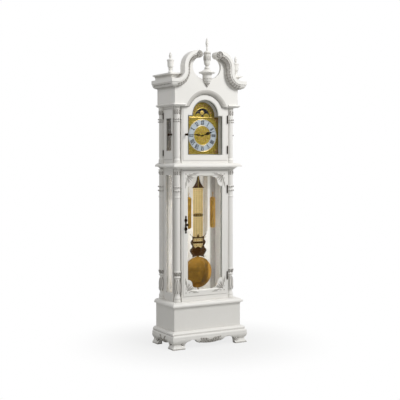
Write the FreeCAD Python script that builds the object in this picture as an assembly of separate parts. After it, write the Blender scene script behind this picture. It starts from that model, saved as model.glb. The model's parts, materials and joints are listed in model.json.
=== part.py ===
import FreeCAD, Part
import math
import os

V = FreeCAD.Vector

# Longcase clock. X runs to the right, Y to the back, Z up. The origin is on the floor, in the middle.

# Case: overall planes. The width is built up from the dial outwards.
BACK_Y = 172.0
DIAL_HALF = 140.0
DIAL_MARGIN = 5.5
HOOD_STILE = 44.0
FRAME_EDGE = 11.5
COLUMN_BAY = 49.0
CASE_HALF = DIAL_HALF + DIAL_MARGIN + HOOD_STILE + FRAME_EDGE + COLUMN_BAY
WALL = 18.0
BACK_T = 12.0
BACK_BOARD_Y = BACK_Y - BACK_T
INNER_HALF = CASE_HALF - WALL
FRAME_FACE_Y = -85.0
FRAME_D = 46.0
SIDE_FRONT_Y = FRAME_FACE_Y + FRAME_D
PLINTH_OUT = 35.0
PLINTH_HALF = CASE_HALF + PLINTH_OUT
PLINTH_STEP = 40.0
PLINTH_FRONT = PLINTH_STEP - FRAME_FACE_Y

# Base skirt with bracket feet
SKIRT_OUT = 15.0
SKIRT_HALF = PLINTH_HALF + SKIRT_OUT
SKIRT_STEP = 27.9
SKIRT_FRONT = PLINTH_FRONT + SKIRT_STEP
SKIRT_H = 104.0
SKIRT_BULGE = 18.0
SKIRT_T = 22.0
SKIRT_BULGE_SHARES = (
    (1.00, 0.00), (0.95, 0.10, -0.18), (0.16, 0.36, 0.30), (1.00, 0.78, 0.30), (0.42, 1.00))
FOOT_W = 100.0
FOOT_D = 86.0
SCALLOP_H = 66.0
LOBE_H = 35.0
SCALLOP_SHARES = (
    (1.00, 0.00), (0.97, 0.55, 0.35), (0.82, 0.86, 0.25), (0.70, 1.00, 0.22), (0.52, 0.72, -0.30))
LOBE_SHARE = 0.36
LOBE_BEND_SHARES = (-0.09, -0.30)

# Base board, plinth and plinth cap
BASE_BOARD_H = 24.0
BASE_OVERHANG = 28.0
BASE_EDGE_SHARES = ((1.00, 0.00), (1.00, 0.40, 0.24), (0.10, 1.00))
PLINTH_H = 170.0
PLINTH_T = 18.0
CAP_H = 40.0
CAP_OVERHANG = 17.0
CAP_EDGE_SHARES = ((0.00, 0.00, -0.35), (0.90, 0.28), (1.00, 0.28), (1.00, 0.50, 0.30), (-0.60, 1.00))

# Trunk
BASE_BOARD_Z = SKIRT_H
PLINTH_Z = BASE_BOARD_Z + BASE_BOARD_H
CAP_Z = PLINTH_Z + PLINTH_H
TRUNK_Z = CAP_Z + CAP_H
TRUNK_H = 987.0
SURBASE_Z = TRUNK_Z + TRUNK_H
WINDOW_STILE = 13.0
WINDOW_FRONT_Y = SIDE_FRONT_Y + WINDOW_STILE
WINDOW_REAR_STILE = 80.0
WINDOW_BACK_Y = BACK_BOARD_Y - WINDOW_REAR_STILE
WINDOW_SILL = 60.0
WINDOW_HEAD = 45.0
WINDOW_H = TRUNK_H - WINDOW_SILL - WINDOW_HEAD
REBATE = 8.0
GLASS_T = 4.0
GLASS_PLAY = 0.3

# Front frame of the trunk and of the hood
FRAME_HALF = CASE_HALF - COLUMN_BAY
FRAME_WING_T = 15.0
STOP_LIP = 12.0
DOOR_PLAY = 2.0
DOOR_HALF = FRAME_HALF - FRAME_EDGE
DOOR_PROUD = 3.0
DOOR_FRONT_Y = FRAME_FACE_Y - DOOR_PROUD
DOOR_T = 20.0
FRAME_STOP_Y = DOOR_FRONT_Y + DOOR_T + DOOR_PLAY

# Turned columns
COLUMN_IN = 21.5
COLUMN_X = CASE_HALF - COLUMN_IN
COLUMN_STAND = 27.0
COLUMN_Y = SIDE_FRONT_Y - COLUMN_STAND
COLUMN_R = 23.0
REAR_COLUMN_IN = 34.0
REAR_COLUMN_Y = BACK_Y - REAR_COLUMN_IN
TRUNK_COLUMN_SHARES = (
    (1.13, 0.000), (1.13, 0.014), (0.98, 0.018, 0.30), (0.98, 0.036), (0.80, 0.050),
    (0.80, 0.060, 0.20), (0.96, 0.096, 0.08), (0.76, 0.166), (0.76, 0.178), (1.02, 0.182, 0.40),
    (1.02, 0.192), (0.88, 0.196, -0.25), (1.13, 0.224), (1.13, 0.230), (1.00, 0.234), (0.96, 0.782),
    (1.04, 0.785, 0.40), (1.04, 0.794), (0.96, 0.797), (0.96, 0.828), (1.04, 0.831, 0.40),
    (1.04, 0.842), (0.96, 0.845), (0.96, 0.858), (1.04, 0.861, 0.40), (1.04, 0.872), (0.96, 0.875),
    (0.96, 0.950, -0.30), (1.06, 0.964), (1.06, 0.984), (1.14, 0.988), (1.14, 1.000))
HOOD_COLUMN_SHARES = (
    (1.14, 0.000), (1.14, 0.030), (1.02, 0.036, 0.30), (1.02, 0.066), (0.98, 0.072, -0.25),
    (0.96, 0.112), (0.95, 0.726), (1.02, 0.731, 0.40), (1.02, 0.745), (0.95, 0.750), (0.95, 0.766),
    (1.04, 0.771, 0.40), (1.04, 0.790), (0.95, 0.795), (0.95, 0.920, -0.25), (1.03, 0.940, 0.40),
    (1.03, 0.962), (0.98, 0.968), (1.14, 0.976), (1.14, 1.000))

# Surbase between trunk and hood
SURBASE_H = 45.0
SURBASE_OUT = 12.0
SURBASE_HALF = CASE_HALF + SURBASE_OUT
SURBASE_STEP = 22.0
SURBASE_FRONT = SURBASE_STEP - FRAME_FACE_Y
SURBASE_OVERHANG = 30.0
SURBASE_EDGE_SHARES = (
    (-0.40, 0.00, -0.35), (0.92, 0.40), (1.00, 0.40), (1.00, 0.62, 0.22), (0.00, 1.00))
WELL_IN = 13.5
WELL_HALF = DOOR_HALF - WELL_IN
WELL_STEP = 15.0
WELL_FRONT_Y = SIDE_FRONT_Y - WELL_STEP
WELL_REAR_RAIL = 6.0
WELL_BACK_Y = BACK_BOARD_Y - WELL_REAR_RAIL

# Hood
HOOD_Z = SURBASE_Z + SURBASE_H
HOOD_H = 420.0
FRIEZE_Z = HOOD_Z + HOOD_H
FRIEZE_T = 10.0
FRIEZE_OUT = 20.0
FRIEZE_HALF = CASE_HALF + FRIEZE_OUT
BOARD_OUT = 25.0
BOARD_FRONT_Y = FRAME_FACE_Y - BOARD_OUT
BOARD_T = 22.0
BOARD_BACK_Y = BOARD_FRONT_Y + BOARD_T
ARCH_DROP = 59.0
ARCH_Z = FRIEZE_Z - ARCH_DROP
ARCH_IN = 4.5
ARCH_R = DOOR_HALF - ARCH_IN
COVE_W = 35.0
ARCH_BACK_R = ARCH_R - COVE_W
COVE_BULGE_SHARE = 0.35

# Frieze moulding under the pediment board
FRIEZE_MOULD_H = 20.0
FRIEZE_MOULD_OUT = 13.0
FRIEZE_MOULD_SHARES = (
    (0.25, 0.00), (0.55, 0.20), (0.55, 0.30), (1.00, 0.42, 0.40), (1.00, 0.78), (0.30, 1.00))
ARCH_MARGIN = 1.0
FRIEZE_MOULD_INNER_X = ARCH_R + ARCH_MARGIN

# Swan neck cornice
FRIEZE_H = 198.0
CORNICE_Z = FRIEZE_Z + FRIEZE_H
CORNICE_OUT = 50.0
CORNICE_H = 64.0
CORNICE_SHARES = (
    (0.00, 0.00), (1.00, 0.00), (1.00, 0.40), (0.90, 0.46, 0.45), (0.16, 0.92), (0.00, 1.00))
NECK_END_SHARE = 0.84
ROSETTE_R = 27.0
ROSETTE_L = 72.0
ROSETTE_SHARES = (
    (1.00, 0.00), (1.00, 0.84), (0.90, 0.90), (0.80, 0.86, -0.30), (0.36, 0.88), (0.36, 0.92, -0.25),
    (0.08, 1.00))
NECK_PAST = 3.0
NECK_FOOT_X = FRIEZE_HALF + NECK_PAST
NECK_FOOT_R = 60.0
NECK_SIDE_X = NECK_FOOT_X - NECK_FOOT_R
NECK_ARC_R = 121.0
NECK_ARC_X = NECK_SIDE_X - NECK_ARC_R
NECK_ARC_RISE = 91.0
NECK_ARC_Z = CORNICE_Z + NECK_ARC_RISE
ROSETTE_IN = 9.0
ROSETTE_X = NECK_ARC_X - ROSETTE_IN
ROSETTE_Z = NECK_ARC_Z + NECK_ARC_R - ROSETTE_R
NECK_FOOT_Z = CORNICE_Z + NECK_FOOT_R
NECK_RUN_PAST = 20.0
NECK_RUN_END_X = FRIEZE_HALF + CORNICE_OUT + NECK_RUN_PAST
HOLE_UP = 95.0
HOLE_Z = CORNICE_Z + HOLE_UP
HOLE_OUT = 29.0
HOLE_HALF = NECK_ARC_X + HOLE_OUT
HOLE_RISE = 92.0

# Parapets beside the pediment
PARAPET_GAP = 9.0
PARAPET_IN_X = NECK_SIDE_X + PARAPET_GAP
PARAPET_OUT = 18.0
PARAPET_OUT_X = FRIEZE_HALF + PARAPET_OUT
PARAPET_H = 16.0
PARAPET_CAP_H = 27.0
PARAPET_CAP_OUT = 22.0
PARAPET_STEP = 6.0
PARAPET_CAP_FRONT = PARAPET_STEP - BOARD_FRONT_Y
PARAPET_CAP_SHARES = ((0.00, 0.00), (0.00, 0.15, -0.30), (0.80, 0.62), (1.00, 0.62), (1.00, 1.00))
TOP_BOARD_T = 12.0

# Finials
SIDE_FINIAL_IN = 7.0
SIDE_FINIAL_X = PARAPET_OUT_X - SIDE_FINIAL_IN
SIDE_FINIAL_BACK = 26.0
SIDE_FINIAL_Y = BOARD_BACK_Y + SIDE_FINIAL_BACK
SIDE_FINIAL_H = 154.0
SIDE_FINIAL_R = 26.0
SIDE_FINIAL_SHARES = (
    (0.70, 0.000), (0.70, 0.045), (0.62, 0.060, -0.20), (0.48, 0.140), (0.48, 0.165), (0.62, 0.175, 0.40),
    (0.62, 0.215), (0.46, 0.225), (0.46, 0.240, 0.20), (0.80, 0.300), (0.84, 0.360), (0.92, 0.560),
    (1.00, 0.580), (1.00, 0.625), (0.62, 0.645, 0.20), (0.26, 0.668), (0.24, 0.700, 0.15),
    (0.39, 0.810, 0.12), (0.05, 1.000))
CENTRE_FINIAL_OUT = 1.0
CENTRE_FINIAL_Y = BOARD_FRONT_Y - CENTRE_FINIAL_OUT
DISH_UP = 37.0
DISH_Z = CORNICE_Z + DISH_UP
DISH_H = 22.0
DISH_R = 60.5
CORBEL_H = 76.0
CORBEL_Z = DISH_Z - CORBEL_H
CORBEL_R = 33.0
CORBEL_TIP_R = 7.0
CORBEL_BEND_SHARE = 0.25
DISH_SHARES = ((0.56, 0.00, -0.25), (0.97, 0.60, 0.40), (1.00, 0.92), (0.90, 1.00))
CENTRE_FINIAL_H = 253.0
CENTRE_FINIAL_TOP = DISH_Z + DISH_H + CENTRE_FINIAL_H
CENTRE_FINIAL_R = 25.0
CENTRE_FINIAL_SHARES = (
    (1.24, 0.000), (1.20, 0.012, -0.25), (0.66, 0.050), (0.60, 0.062), (0.60, 0.070, 0.45), (0.60, 0.150),
    (0.44, 0.160), (0.44, 0.182, 0.25), (0.94, 0.280, 0.05), (1.00, 0.400), (0.98, 0.540), (1.00, 0.555),
    (1.00, 0.580), (0.84, 0.590, 0.15), (0.40, 0.612), (0.26, 0.622), (0.22, 0.730, 0.12),
    (0.40, 0.860, 0.12), (0.04, 1.000))

# Hood door
HOOD_SILL = 22.0
HOOD_DOOR_Z = HOOD_Z + HOOD_SILL
HOOD_DOOR_SHOULDER = FRIEZE_Z - DOOR_PLAY
ARCH_PLAY = 3.0
HOOD_DOOR_ARCH_R = ARCH_BACK_R - ARCH_PLAY
HOOD_PANE_HALF = DOOR_HALF - HOOD_STILE
HOOD_RAIL = 42.0
HOOD_PANE_Z = HOOD_DOOR_Z + HOOD_RAIL
SHOULDER_RAIL = 66.0
HOOD_PANE_SHOULDER = HOOD_DOOR_SHOULDER - SHOULDER_RAIL
ARCH_RAIL = 39.0
HOOD_PANE_ARCH_R = HOOD_DOOR_ARCH_R - ARCH_RAIL
PANE_BEVEL = 7.0
PANE_BEVEL_D = 6.0
PANE_SEAT_D = 14.0
PANE_SEAT_Y = DOOR_FRONT_Y + PANE_SEAT_D
PANE_T = 3.0

# Trunk door
TRUNK_SILL = 38.0
TRUNK_DOOR_Z = TRUNK_Z + TRUNK_SILL
TRUNK_HEAD = 10.0
TRUNK_DOOR_TOP = SURBASE_Z - TRUNK_HEAD
TRUNK_STILE = 41.0
TRUNK_PANE_HALF = DOOR_HALF - TRUNK_STILE
TRUNK_LOW_RAIL = 45.0
TRUNK_PANE_Z = TRUNK_DOOR_Z + TRUNK_LOW_RAIL
TRUNK_TOP_RAIL = 41.0
TRUNK_PANE_TOP = TRUNK_DOOR_TOP - TRUNK_TOP_RAIL
SPANDREL_W = 82.0
SPANDREL_H = 78.0
SPANDREL_T = 9.0
SPANDREL_LIP = 6.0
SPANDREL_MID_SHARE = 0.48
SPANDREL_BEND_SHARE = 0.40

# Hinges
HINGE_R = 4.2
HINGE_PIN_R = 1.5
HINGE_PLAY = 0.05
HINGE_L = 62.0
HINGE_LEAF_D = 14.0
HINGE_LEAF_T = 0.8
KNUCKLE_GAP = 0.3
HINGE_X = DOOR_HALF + DOOR_PLAY / 2
HINGE_Y = DOOR_FRONT_Y - HINGE_R
HOOD_HINGE_IN = (78.0, 90.0)
HOOD_HINGE_Z = [HOOD_DOOR_Z + HOOD_HINGE_IN[0], HOOD_DOOR_SHOULDER - HOOD_HINGE_IN[1]]
TRUNK_HINGE_IN = (137.0, 142.0)
TRUNK_HINGE_Z = [TRUNK_DOOR_Z + TRUNK_HINGE_IN[0], TRUNK_DOOR_TOP - TRUNK_HINGE_IN[1]]

# Knobs and latch
KNOB_L = 34.0
KNOB_R = 9.5
KNOB_SHARES = (
    (0.85, 0.00), (0.85, 0.06), (0.34, 0.14, -0.15), (0.40, 0.52, -0.10), (1.00, 0.74, 0.35),
    (0.55, 1.00))
HOOD_KNOB_OUT = 22.5
HOOD_KNOB_X = -HOOD_PANE_HALF - HOOD_KNOB_OUT
HOOD_KNOB_UP = 190.0
HOOD_KNOB_Z = HOOD_DOOR_Z + HOOD_KNOB_UP
LATCH_OUT = 19.5
LATCH_X = -TRUNK_PANE_HALF - LATCH_OUT
LATCH_UP = 538.0
LATCH_Z = TRUNK_DOOR_Z + LATCH_UP
PLATE_H = 134.0
PLATE_W = 24.0
PLATE_T = 2.5
PLATE_SHARES = (
    (0.12, 0.00), (0.55, 0.05, 0.20), (0.42, 0.12, -0.20), (1.00, 0.22, 0.25), (0.60, 0.34, -0.10),
    (0.60, 0.66, 0.25), (1.00, 0.78, -0.20), (0.42, 0.88, 0.20), (0.55, 0.95), (0.12, 1.00))
LATCH_R = 3.0
LATCH_PLAY = 0.06
CAM_L = 17.0
CAM_HALF = 4.5
CAM_T = 4.0
CAM_GAP = 7.0
CAM_Y = DOOR_FRONT_Y + DOOR_T + CAM_GAP
CAM_SLOT_PLAY = 2.0

# Side doors of the hood
SIDE_DOOR_T = 14.0
SIDE_DOOR_PROUD = 0.5
SIDE_STILE = 9.0
SIDE_DOOR_FRONT_Y = SIDE_FRONT_Y + SIDE_STILE
SIDE_REAR_STILE = 50.0
SIDE_DOOR_BACK_Y = BACK_BOARD_Y - SIDE_REAR_STILE
SIDE_SILL = 26.0
SIDE_DOOR_Z = HOOD_Z + SIDE_SILL
SIDE_HEAD = 16.0
SIDE_DOOR_H = HOOD_H - SIDE_SILL - SIDE_HEAD
SIDE_STOP = 6.0
SLOT_STILE = 17.0
SLOT_FRONT_Y = SIDE_DOOR_FRONT_Y + SLOT_STILE
SLOT_REAR_STILE = 45.0
SLOT_BACK_Y = SIDE_DOOR_BACK_Y - SLOT_REAR_STILE
SLOT_SILL = 67.0
SLOT_Z = SIDE_DOOR_Z + SLOT_SILL
SLOT_HEAD = 71.0
SLOT_H = SIDE_DOOR_H - SLOT_SILL - SLOT_HEAD
SIDE_PANE_T = 2.0
SIDE_KNOB_IN = 8.0
SIDE_KNOB_Y = SIDE_DOOR_FRONT_Y + SIDE_KNOB_IN
SIDE_HINGE_L = 44.0
SIDE_HINGE_R = 3.4
SIDE_HINGE_LEAF_D = 9.0
SIDE_HINGE_IN = 50.0
SIDE_HINGE_Z = (SIDE_DOOR_Z + SIDE_HINGE_IN, SIDE_DOOR_Z + SIDE_DOOR_H - SIDE_HINGE_IN)

# Seat for the movement
SEAT_UP = 70.0
SEAT_Z = HOOD_Z + SEAT_UP
SEAT_T = 22.0
SEAT_GAP = 18.0
SEAT_HALF = INNER_HALF - SEAT_GAP
SEAT_STEP = 5.0
SEAT_FRONT_Y = SIDE_FRONT_Y + SEAT_STEP
SEAT_TONGUE_GAP = 7.0
SEAT_TONGUE_HALF = FRAME_HALF - STOP_LIP * 2 - SEAT_TONGUE_GAP
SEAT_PLAY = 1.0
SEAT_SHOULDER_Y = SIDE_FRONT_Y + FRAME_WING_T + SEAT_PLAY
SEAT_BACK_Y = 60.0
CHEEK_T = 14.0
SEAT_SLOT_HALF = 62.0
SEAT_SLOT_Y = 16.0

# Movement
PLATE_HALF_X = 75.0
MOVEMENT_Z = SEAT_Z + SEAT_T
MOVEMENT_H = 202.0
MOVEMENT_TOP = MOVEMENT_Z + MOVEMENT_H
FRONT_PLATE_Y = -30.0
BACK_PLATE_Y = 10.0
MOVEMENT_PLATE_T = 2.5
PILLAR_R = 4.0
PILLAR_INSET = 10.0
PIVOT_PLAY = 0.05

# Dial
DIAL_STAND = 10.0
DIAL_Y = FRONT_PLATE_Y - DIAL_STAND
DIAL_T = 2.0
DIAL_UP = 208.0
DIAL_Z = HOOD_Z + DIAL_UP
DIAL_ARCH_UP = 4.0
DIAL_ARCH_Z = DIAL_Z + DIAL_HALF + DIAL_ARCH_UP
DIAL_SHOULDER = 34.0
DIAL_ARCH_R = DIAL_HALF - DIAL_SHOULDER
CHAPTER_MARGIN = 18.0
CHAPTER_R = DIAL_HALF - CHAPTER_MARGIN
CHAPTER_IN_R = 71.0
CHAPTER_T = 1.4
DIAL_FOOT_R = 3.0
DIAL_FOOT_X = 58.0
DIAL_FOOT_UP = (-88.0, 52.0)
DIAL_FOOT_Z = [DIAL_Z + up for up in DIAL_FOOT_UP]
WIND_X = 46.0
WIND_DROP = 23.0
WIND_Z = DIAL_Z - WIND_DROP
WIND_HOLE_R = 5.5
MOON_DROP = 10.0
MOON_Z = DIAL_ARCH_Z - MOON_DROP
MOON_MARGIN = 34.0
MOON_R = DIAL_ARCH_R - MOON_MARGIN
MOON_T = 1.2
MOON_GAP = 0.8
MOON_STUD_R = 2.0
MOON_WINDOW_UP = 6.0
MOON_WINDOW_Z = MOON_Z + MOON_WINDOW_UP
MOON_WINDOW_SHARE = 0.889
MOON_WINDOW_R = MOON_R * MOON_WINDOW_SHARE
HUMP_X_SHARE = 0.486
HUMP_X = MOON_R * HUMP_X_SHARE
HUMP_R_SHARE = 0.361
HUMP_R = MOON_R * HUMP_R_SHARE

# Hands
HAND_T = 1.2
MINUTE_ARBOR_R = 2.5
HOUR_PIPE_R = 4.2
HOUR_HAND_GAP = 4.5
HOUR_HAND_Y = DIAL_Y - HOUR_HAND_GAP
MINUTE_HAND_GAP = 3.0
MINUTE_HAND_Y = HOUR_HAND_Y - MINUTE_HAND_GAP
MINUTE_SHORT = 10.0
MINUTE_L = CHAPTER_R - MINUTE_SHORT
HOUR_L = 84.0
MINUTE_ANGLE = 72.0
HOUR_ANGLE = 276.0
HUB_R = 7.0
ARBOR_IN = 12.0
ARBOR_END_Y = FRONT_PLATE_Y + ARBOR_IN
HAND_SHARES = (
    (0.04, 0.026), (0.26, 0.020), (0.34, 0.070, 0.30), (0.47, 0.085, 0.25), (0.56, 0.022),
    (0.62, 0.055, 0.30), (0.70, 0.018), (1.00, 0.006))
HAND_EYE_SHARE = 0.43
HAND_EYE_R_SHARE = 0.045

# Winding drums
DRUM_R = 22.0
DRUM_FLANGE_R = 27.0
DRUM_FLANGE_T = 2.0
DRUM_GAP = 4.0
DRUM_FRONT_Y = FRONT_PLATE_Y + DRUM_GAP
DRUM_REAR_GAP = 9.0
DRUM_BACK_Y = BACK_PLATE_Y - DRUM_REAR_GAP
GREAT_WHEEL_R = 33.0
GREAT_WHEEL_T = 3.0
TEETH = 72
TOOTH_H = 2.2
TOOTH_ROOT_SHARE = 0.62
TOOTH_TIP_SHARE = 0.34
ARBOR_R = 3.0
SQUARE_HALF = 2.2
SQUARE_OUT = 3.0
SQUARE_Y = DIAL_Y - SQUARE_OUT
SQUARE_STEP = 3.0
SQUARE_END_Y = FRONT_PLATE_Y - SQUARE_STEP

# Weights and their lines
WEIGHT_OUT = 30.0
WEIGHT_X = PLATE_HALF_X + WEIGHT_OUT
WEIGHT_BACK = 23.0
WEIGHT_Y = SIDE_FRONT_Y + WEIGHT_BACK
WEIGHT_R = 21.0
WEIGHT_UP = 537.0
WEIGHT_Z = TRUNK_Z + WEIGHT_UP
WEIGHT_H = 240.0
WEIGHT_WALL = 1.5
WEIGHT_CAP_H = 14.0
WEIGHT_CAP_SHARES = ((0.20, 0.00, 0.30), (0.80, 0.55), (1.00, 0.62), (1.00, 1.00))
WEIGHT_ROD_R = 2.5
WEIGHT_EYE_R = 5.0
WEIGHT_EYE_WIRE_R = 1.5
WEIGHT_HOOK_UP = 27.0
WEIGHT_HOOK_Z = WEIGHT_Z + WEIGHT_H + WEIGHT_HOOK_UP
LINE_R = 0.9
LINE_PLAY = 0.3
LINE_BEND_R = 12.0
GUIDE_R = 7.0
GUIDE_BORE_R = 2.4
GUIDE_H = 12.0

# Pendulum
PENDULUM_BACK = 17.0
PENDULUM_Y = BACK_PLATE_Y + PENDULUM_BACK
PIVOT_DROP = 24.0
PIVOT_Z = MOVEMENT_TOP - PIVOT_DROP
PIVOT_R = 2.0
EYE_R = 6.0
STRIP_HALF = 6.0
STRIP_T = 3.0
BOB_UP = 199.0
BOB_Z = TRUNK_Z + BOB_UP
BOB_R = 119.0
LUG_RISE = 4.0
LUG_TOP = BOB_Z + BOB_R + LUG_RISE
TAIL_L = 40.0
LATTICE_Z = LUG_TOP + TAIL_L
LATTICE_H = 481.0
LATTICE_TOP = LATTICE_Z + LATTICE_H
LATTICE_HALF = 43.5
LATTICE_BORDER = 5.0
LATTICE_BAR = 3.0
LATTICE_WEB = 2.0
LATTICE_COLUMNS = 2
LATTICE_ROWS = 32
CROWN_H = 94.0
CROWN_TOP = LATTICE_TOP + CROWN_H
CROWN_HALF = 53.0
CROWN_TIP_HALF = 8.0
CROWN_BEND_SHARE = -0.22
MOUNT_T = 4.0
CLASP_UP = 264.0
CLASP_Z = LATTICE_Z + CLASP_UP
CLASP_H = 22.0
CLASP_SHARES = ((0.60, 0.00, 0.25), (1.00, 0.50, 0.25), (0.60, 1.00))
LYRE_DROP = 20.0
LYRE_Z = LUG_TOP - LYRE_DROP
LYRE_H = 190.0
LYRE_HALF = 73.0
LYRE_PLAY = 4.5
LYRE_SHARES = (
    (0.82, 0.00, -0.20), (0.68, 0.15, 0.10), (1.00, 0.33), (0.92, 0.40, -0.30), (0.70, 0.53, 0.15),
    (0.90, 0.66, 0.25), (0.66, 0.78), (0.68, 0.87, -0.20), (1.00, 0.98), (0.92, 1.00, -0.20), (0.60, 0.90),
    (0.16, 0.865), (0.08, 0.93), (0.00, 1.00))
LYRE_LIGHT_SHARES = ((0.00, 0.495), (0.36, 0.42), (0.55, 0.53), (0.60, 0.62), (0.00, 0.62))
LYRE_TOP_LIGHT_SHARES = ((0.00, 0.695), (0.58, 0.695), (0.55, 0.82), (0.00, 0.82))
BOB_T = 30.0
BOB_RIM = 3.0
LUG_HALF = 9.0
LUG_T = 8.0
NUT_R = 7.0
NUT_H = 14.0
NUT_ROD_R = 3.0
NUT_DROP = 20.0
NUT_Z = BOB_Z - BOB_R - NUT_DROP

# Crutch and anchor
CRUTCH_BACK = 5.0
CRUTCH_Y = BACK_PLATE_Y + CRUTCH_BACK
CRUTCH_T = 3.0
CRUTCH_HALF = 3.0
CRUTCH_L = 90.0
FORK_PLAY = 0.5
FORK_T = 2.5
FORK_H = 8.0
ANCHOR_IN = 18.0
ANCHOR_Y = BACK_PLATE_Y - ANCHOR_IN
ANCHOR_T = 4.0
ANCHOR_HALF = 24.0
ANCHOR_DROP = 14.0
ANCHOR_ARM = 5.0
CRUTCH_ARBOR_R = 2.0
ESCAPE_DROP = 36.0
ESCAPE_Z = PIVOT_Z - ESCAPE_DROP
ESCAPE_R = 23.5
ESCAPE_T = 2.0
ESCAPE_TEETH = 30
ESCAPE_ARBOR_R = 1.5
COCK_HALF = 12.0
COCK_T = 5.0
COCK_UP = 12.0
COCK_Z = PIVOT_Z + COCK_UP

# Chime rods
CHIME_X = 124.0
CHIME_STEP = 9.0
CHIME_COUNT = 4
CHIME_GAP = 12.0
CHIME_Y = BACK_BOARD_Y - CHIME_GAP
CHIME_R = 2.0
CHIME_UP = 10.0
CHIME_TOP = HOOD_Z + CHIME_UP
CHIME_L = 620.0
CHIME_L_STEP = 26.0
BLOCK_H = 26.0
BLOCK_MARGIN = 9.0


def on_front(y):
    return lambda a, b: V(a, y, b)


def on_side(x):
    return lambda a, b: V(x, a, b)


def on_plan(z):
    return lambda a, b: V(a, b, z)


def outline(points, place):
    # A third value bends the edge that follows to its right, as a share of half its length.
    edges = []
    for i, point in enumerate(points):
        after = points[(i + 1) % len(points)]
        start = place(point[0], point[1])
        end = place(after[0], after[1])
        if len(point) > 2:
            da = (after[0] - point[0]) / 2
            db = (after[1] - point[1]) / 2
            mid = place(point[0] + da + db * point[2], point[1] + db - da * point[2])
            edges.append(Part.Arc(start, mid, end).toShape())
        else:
            edges.append(Part.makeLine(start, end))
    return Part.Wire(edges)


def prism(points, place, sweep):
    return Part.Face(outline(points, place)).extrude(sweep)


def box(x0, x1, y0, y1, z0, z1):
    return Part.makeBox(x1 - x0, y1 - y0, z1 - z0, V(x0, y0, z0))


def rod(x, y, z, r, length, axis):
    return Part.makeCylinder(r, length, V(x, y, z), axis)


def mirrored(shape):
    return shape.mirror(V(0, 0, 0), V(1, 0, 0))


def both_sides(shape):
    return Part.makeCompound([shape, mirrored(shape)])


def turned(x, y, z, r, h, shares):
    rows = [(r * row[0], z + h * row[1]) + row[2:] for row in shares]
    rows = [(0, z)] + rows + [(0, z + h)]
    face = Part.Face(outline(rows, lambda a, b: V(x + a, y, b)))
    return face.revolve(V(x, y, z), V(0, 0, 1), 360)


def turned_forward(x, y, z, r, length, shares):
    rows = [(r * row[0], -length * row[1]) + row[2:] for row in shares]
    rows = [(0, 0)] + rows + [(0, -length)]
    face = Part.Face(outline(rows, lambda a, b: V(x + a, y + b, z)))
    return face.revolve(V(x, y, z), V(0, 1, 0), 360)


def flipped(rows):
    # The same edge walked the other way round: each bend moves to the point that now comes first.
    bends = [row[2:] for row in rows]
    back = []
    for i in range(len(rows) - 1, -1, -1):
        bend = bends[i - 1] if i > 0 else ()
        back.append((rows[i][0], rows[i][1]) + bend)
    return back


def moulded_board(half, front, back, z, out, h, shares):
    right = [(half + out * row[0], z + h * row[1]) + row[2:] for row in shares]
    left = [(-row[0], row[1]) + row[2:] for row in flipped(right)]
    ahead = [(-front - out * row[0], z + h * row[1]) + tuple(-b for b in row[2:]) for row in shares]
    across = prism(right + left, on_front(back), V(0, -back - front - out * 2, 0))
    rows = ahead + [(back, z + h), (back, z)]
    along = prism(rows, on_side(-half - out * 2), V((half + out * 2) * 2, 0, 0))
    return across.common(along)


# Base
def scallop(reach, middle, place, sweep):
    right = [(middle + reach * row[0], SCALLOP_H * row[1]) + row[2:] for row in SCALLOP_SHARES]
    under, away = LOBE_BEND_SHARES
    lobe = [(middle + reach * LOBE_SHARE, LOBE_H, under), (middle - reach * LOBE_SHARE, LOBE_H, away)]
    left = [(middle * 2 - row[0], row[1]) + row[2:] for row in flipped(right)]
    return prism(right + lobe + left, place, sweep)


def base_skirt():
    body = moulded_board(SKIRT_HALF, SKIRT_FRONT, BACK_Y, 0, SKIRT_BULGE, SKIRT_H, SKIRT_BULGE_SHARES)
    body = body.cut(box(SKIRT_T - SKIRT_HALF, SKIRT_HALF - SKIRT_T, SKIRT_T - SKIRT_FRONT, BACK_Y, 0,
                        SKIRT_H))
    reach = SKIRT_HALF + SKIRT_BULGE - FOOT_W
    depth = SKIRT_FRONT + SKIRT_BULGE * 2
    body = body.cut(scallop(reach, 0, on_front(-depth), V(0, depth, 0)))
    side_reach = (BACK_Y + SKIRT_FRONT + SKIRT_BULGE) / 2 - FOOT_D
    middle = (BACK_Y - SKIRT_FRONT - SKIRT_BULGE) / 2
    width = SKIRT_HALF + SKIRT_BULGE * 2
    return body.cut(scallop(side_reach, middle, on_side(-width), V(width * 2, 0, 0)))


def mitre_wedge(half, front, z, h):
    reach = front + SKIRT_BULGE * 3
    rows = [(-half - reach + front, -reach), (half + reach - front, -reach), (half - front, 0),
            (front - half, 0)]
    return prism(rows, on_plan(z), V(0, 0, h))


def base_skirt_front():
    return base_skirt().common(mitre_wedge(SKIRT_HALF, SKIRT_FRONT, 0, SKIRT_H))


def base_skirt_sides():
    return base_skirt().cut(mitre_wedge(SKIRT_HALF, SKIRT_FRONT, 0, SKIRT_H))


def base_board():
    return moulded_board(PLINTH_HALF, PLINTH_FRONT, BACK_Y, BASE_BOARD_Z, BASE_OVERHANG, BASE_BOARD_H,
                         BASE_EDGE_SHARES)


def plinth_front():
    return box(-PLINTH_HALF, PLINTH_HALF, -PLINTH_FRONT, PLINTH_T - PLINTH_FRONT, PLINTH_Z, CAP_Z)


def plinth_side():
    return box(PLINTH_HALF - PLINTH_T, PLINTH_HALF, PLINTH_T - PLINTH_FRONT, BACK_Y, PLINTH_Z, CAP_Z)


def plinth_back():
    return box(PLINTH_T - PLINTH_HALF, PLINTH_HALF - PLINTH_T, BACK_BOARD_Y, BACK_Y, PLINTH_Z, CAP_Z)


def plinth_boards():
    side = plinth_side()
    return Part.makeCompound([plinth_front(), side, mirrored(side), plinth_back()])


def plinth_cap():
    return moulded_board(PLINTH_HALF, PLINTH_FRONT, BACK_Y, CAP_Z, CAP_OVERHANG, CAP_H, CAP_EDGE_SHARES)


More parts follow.
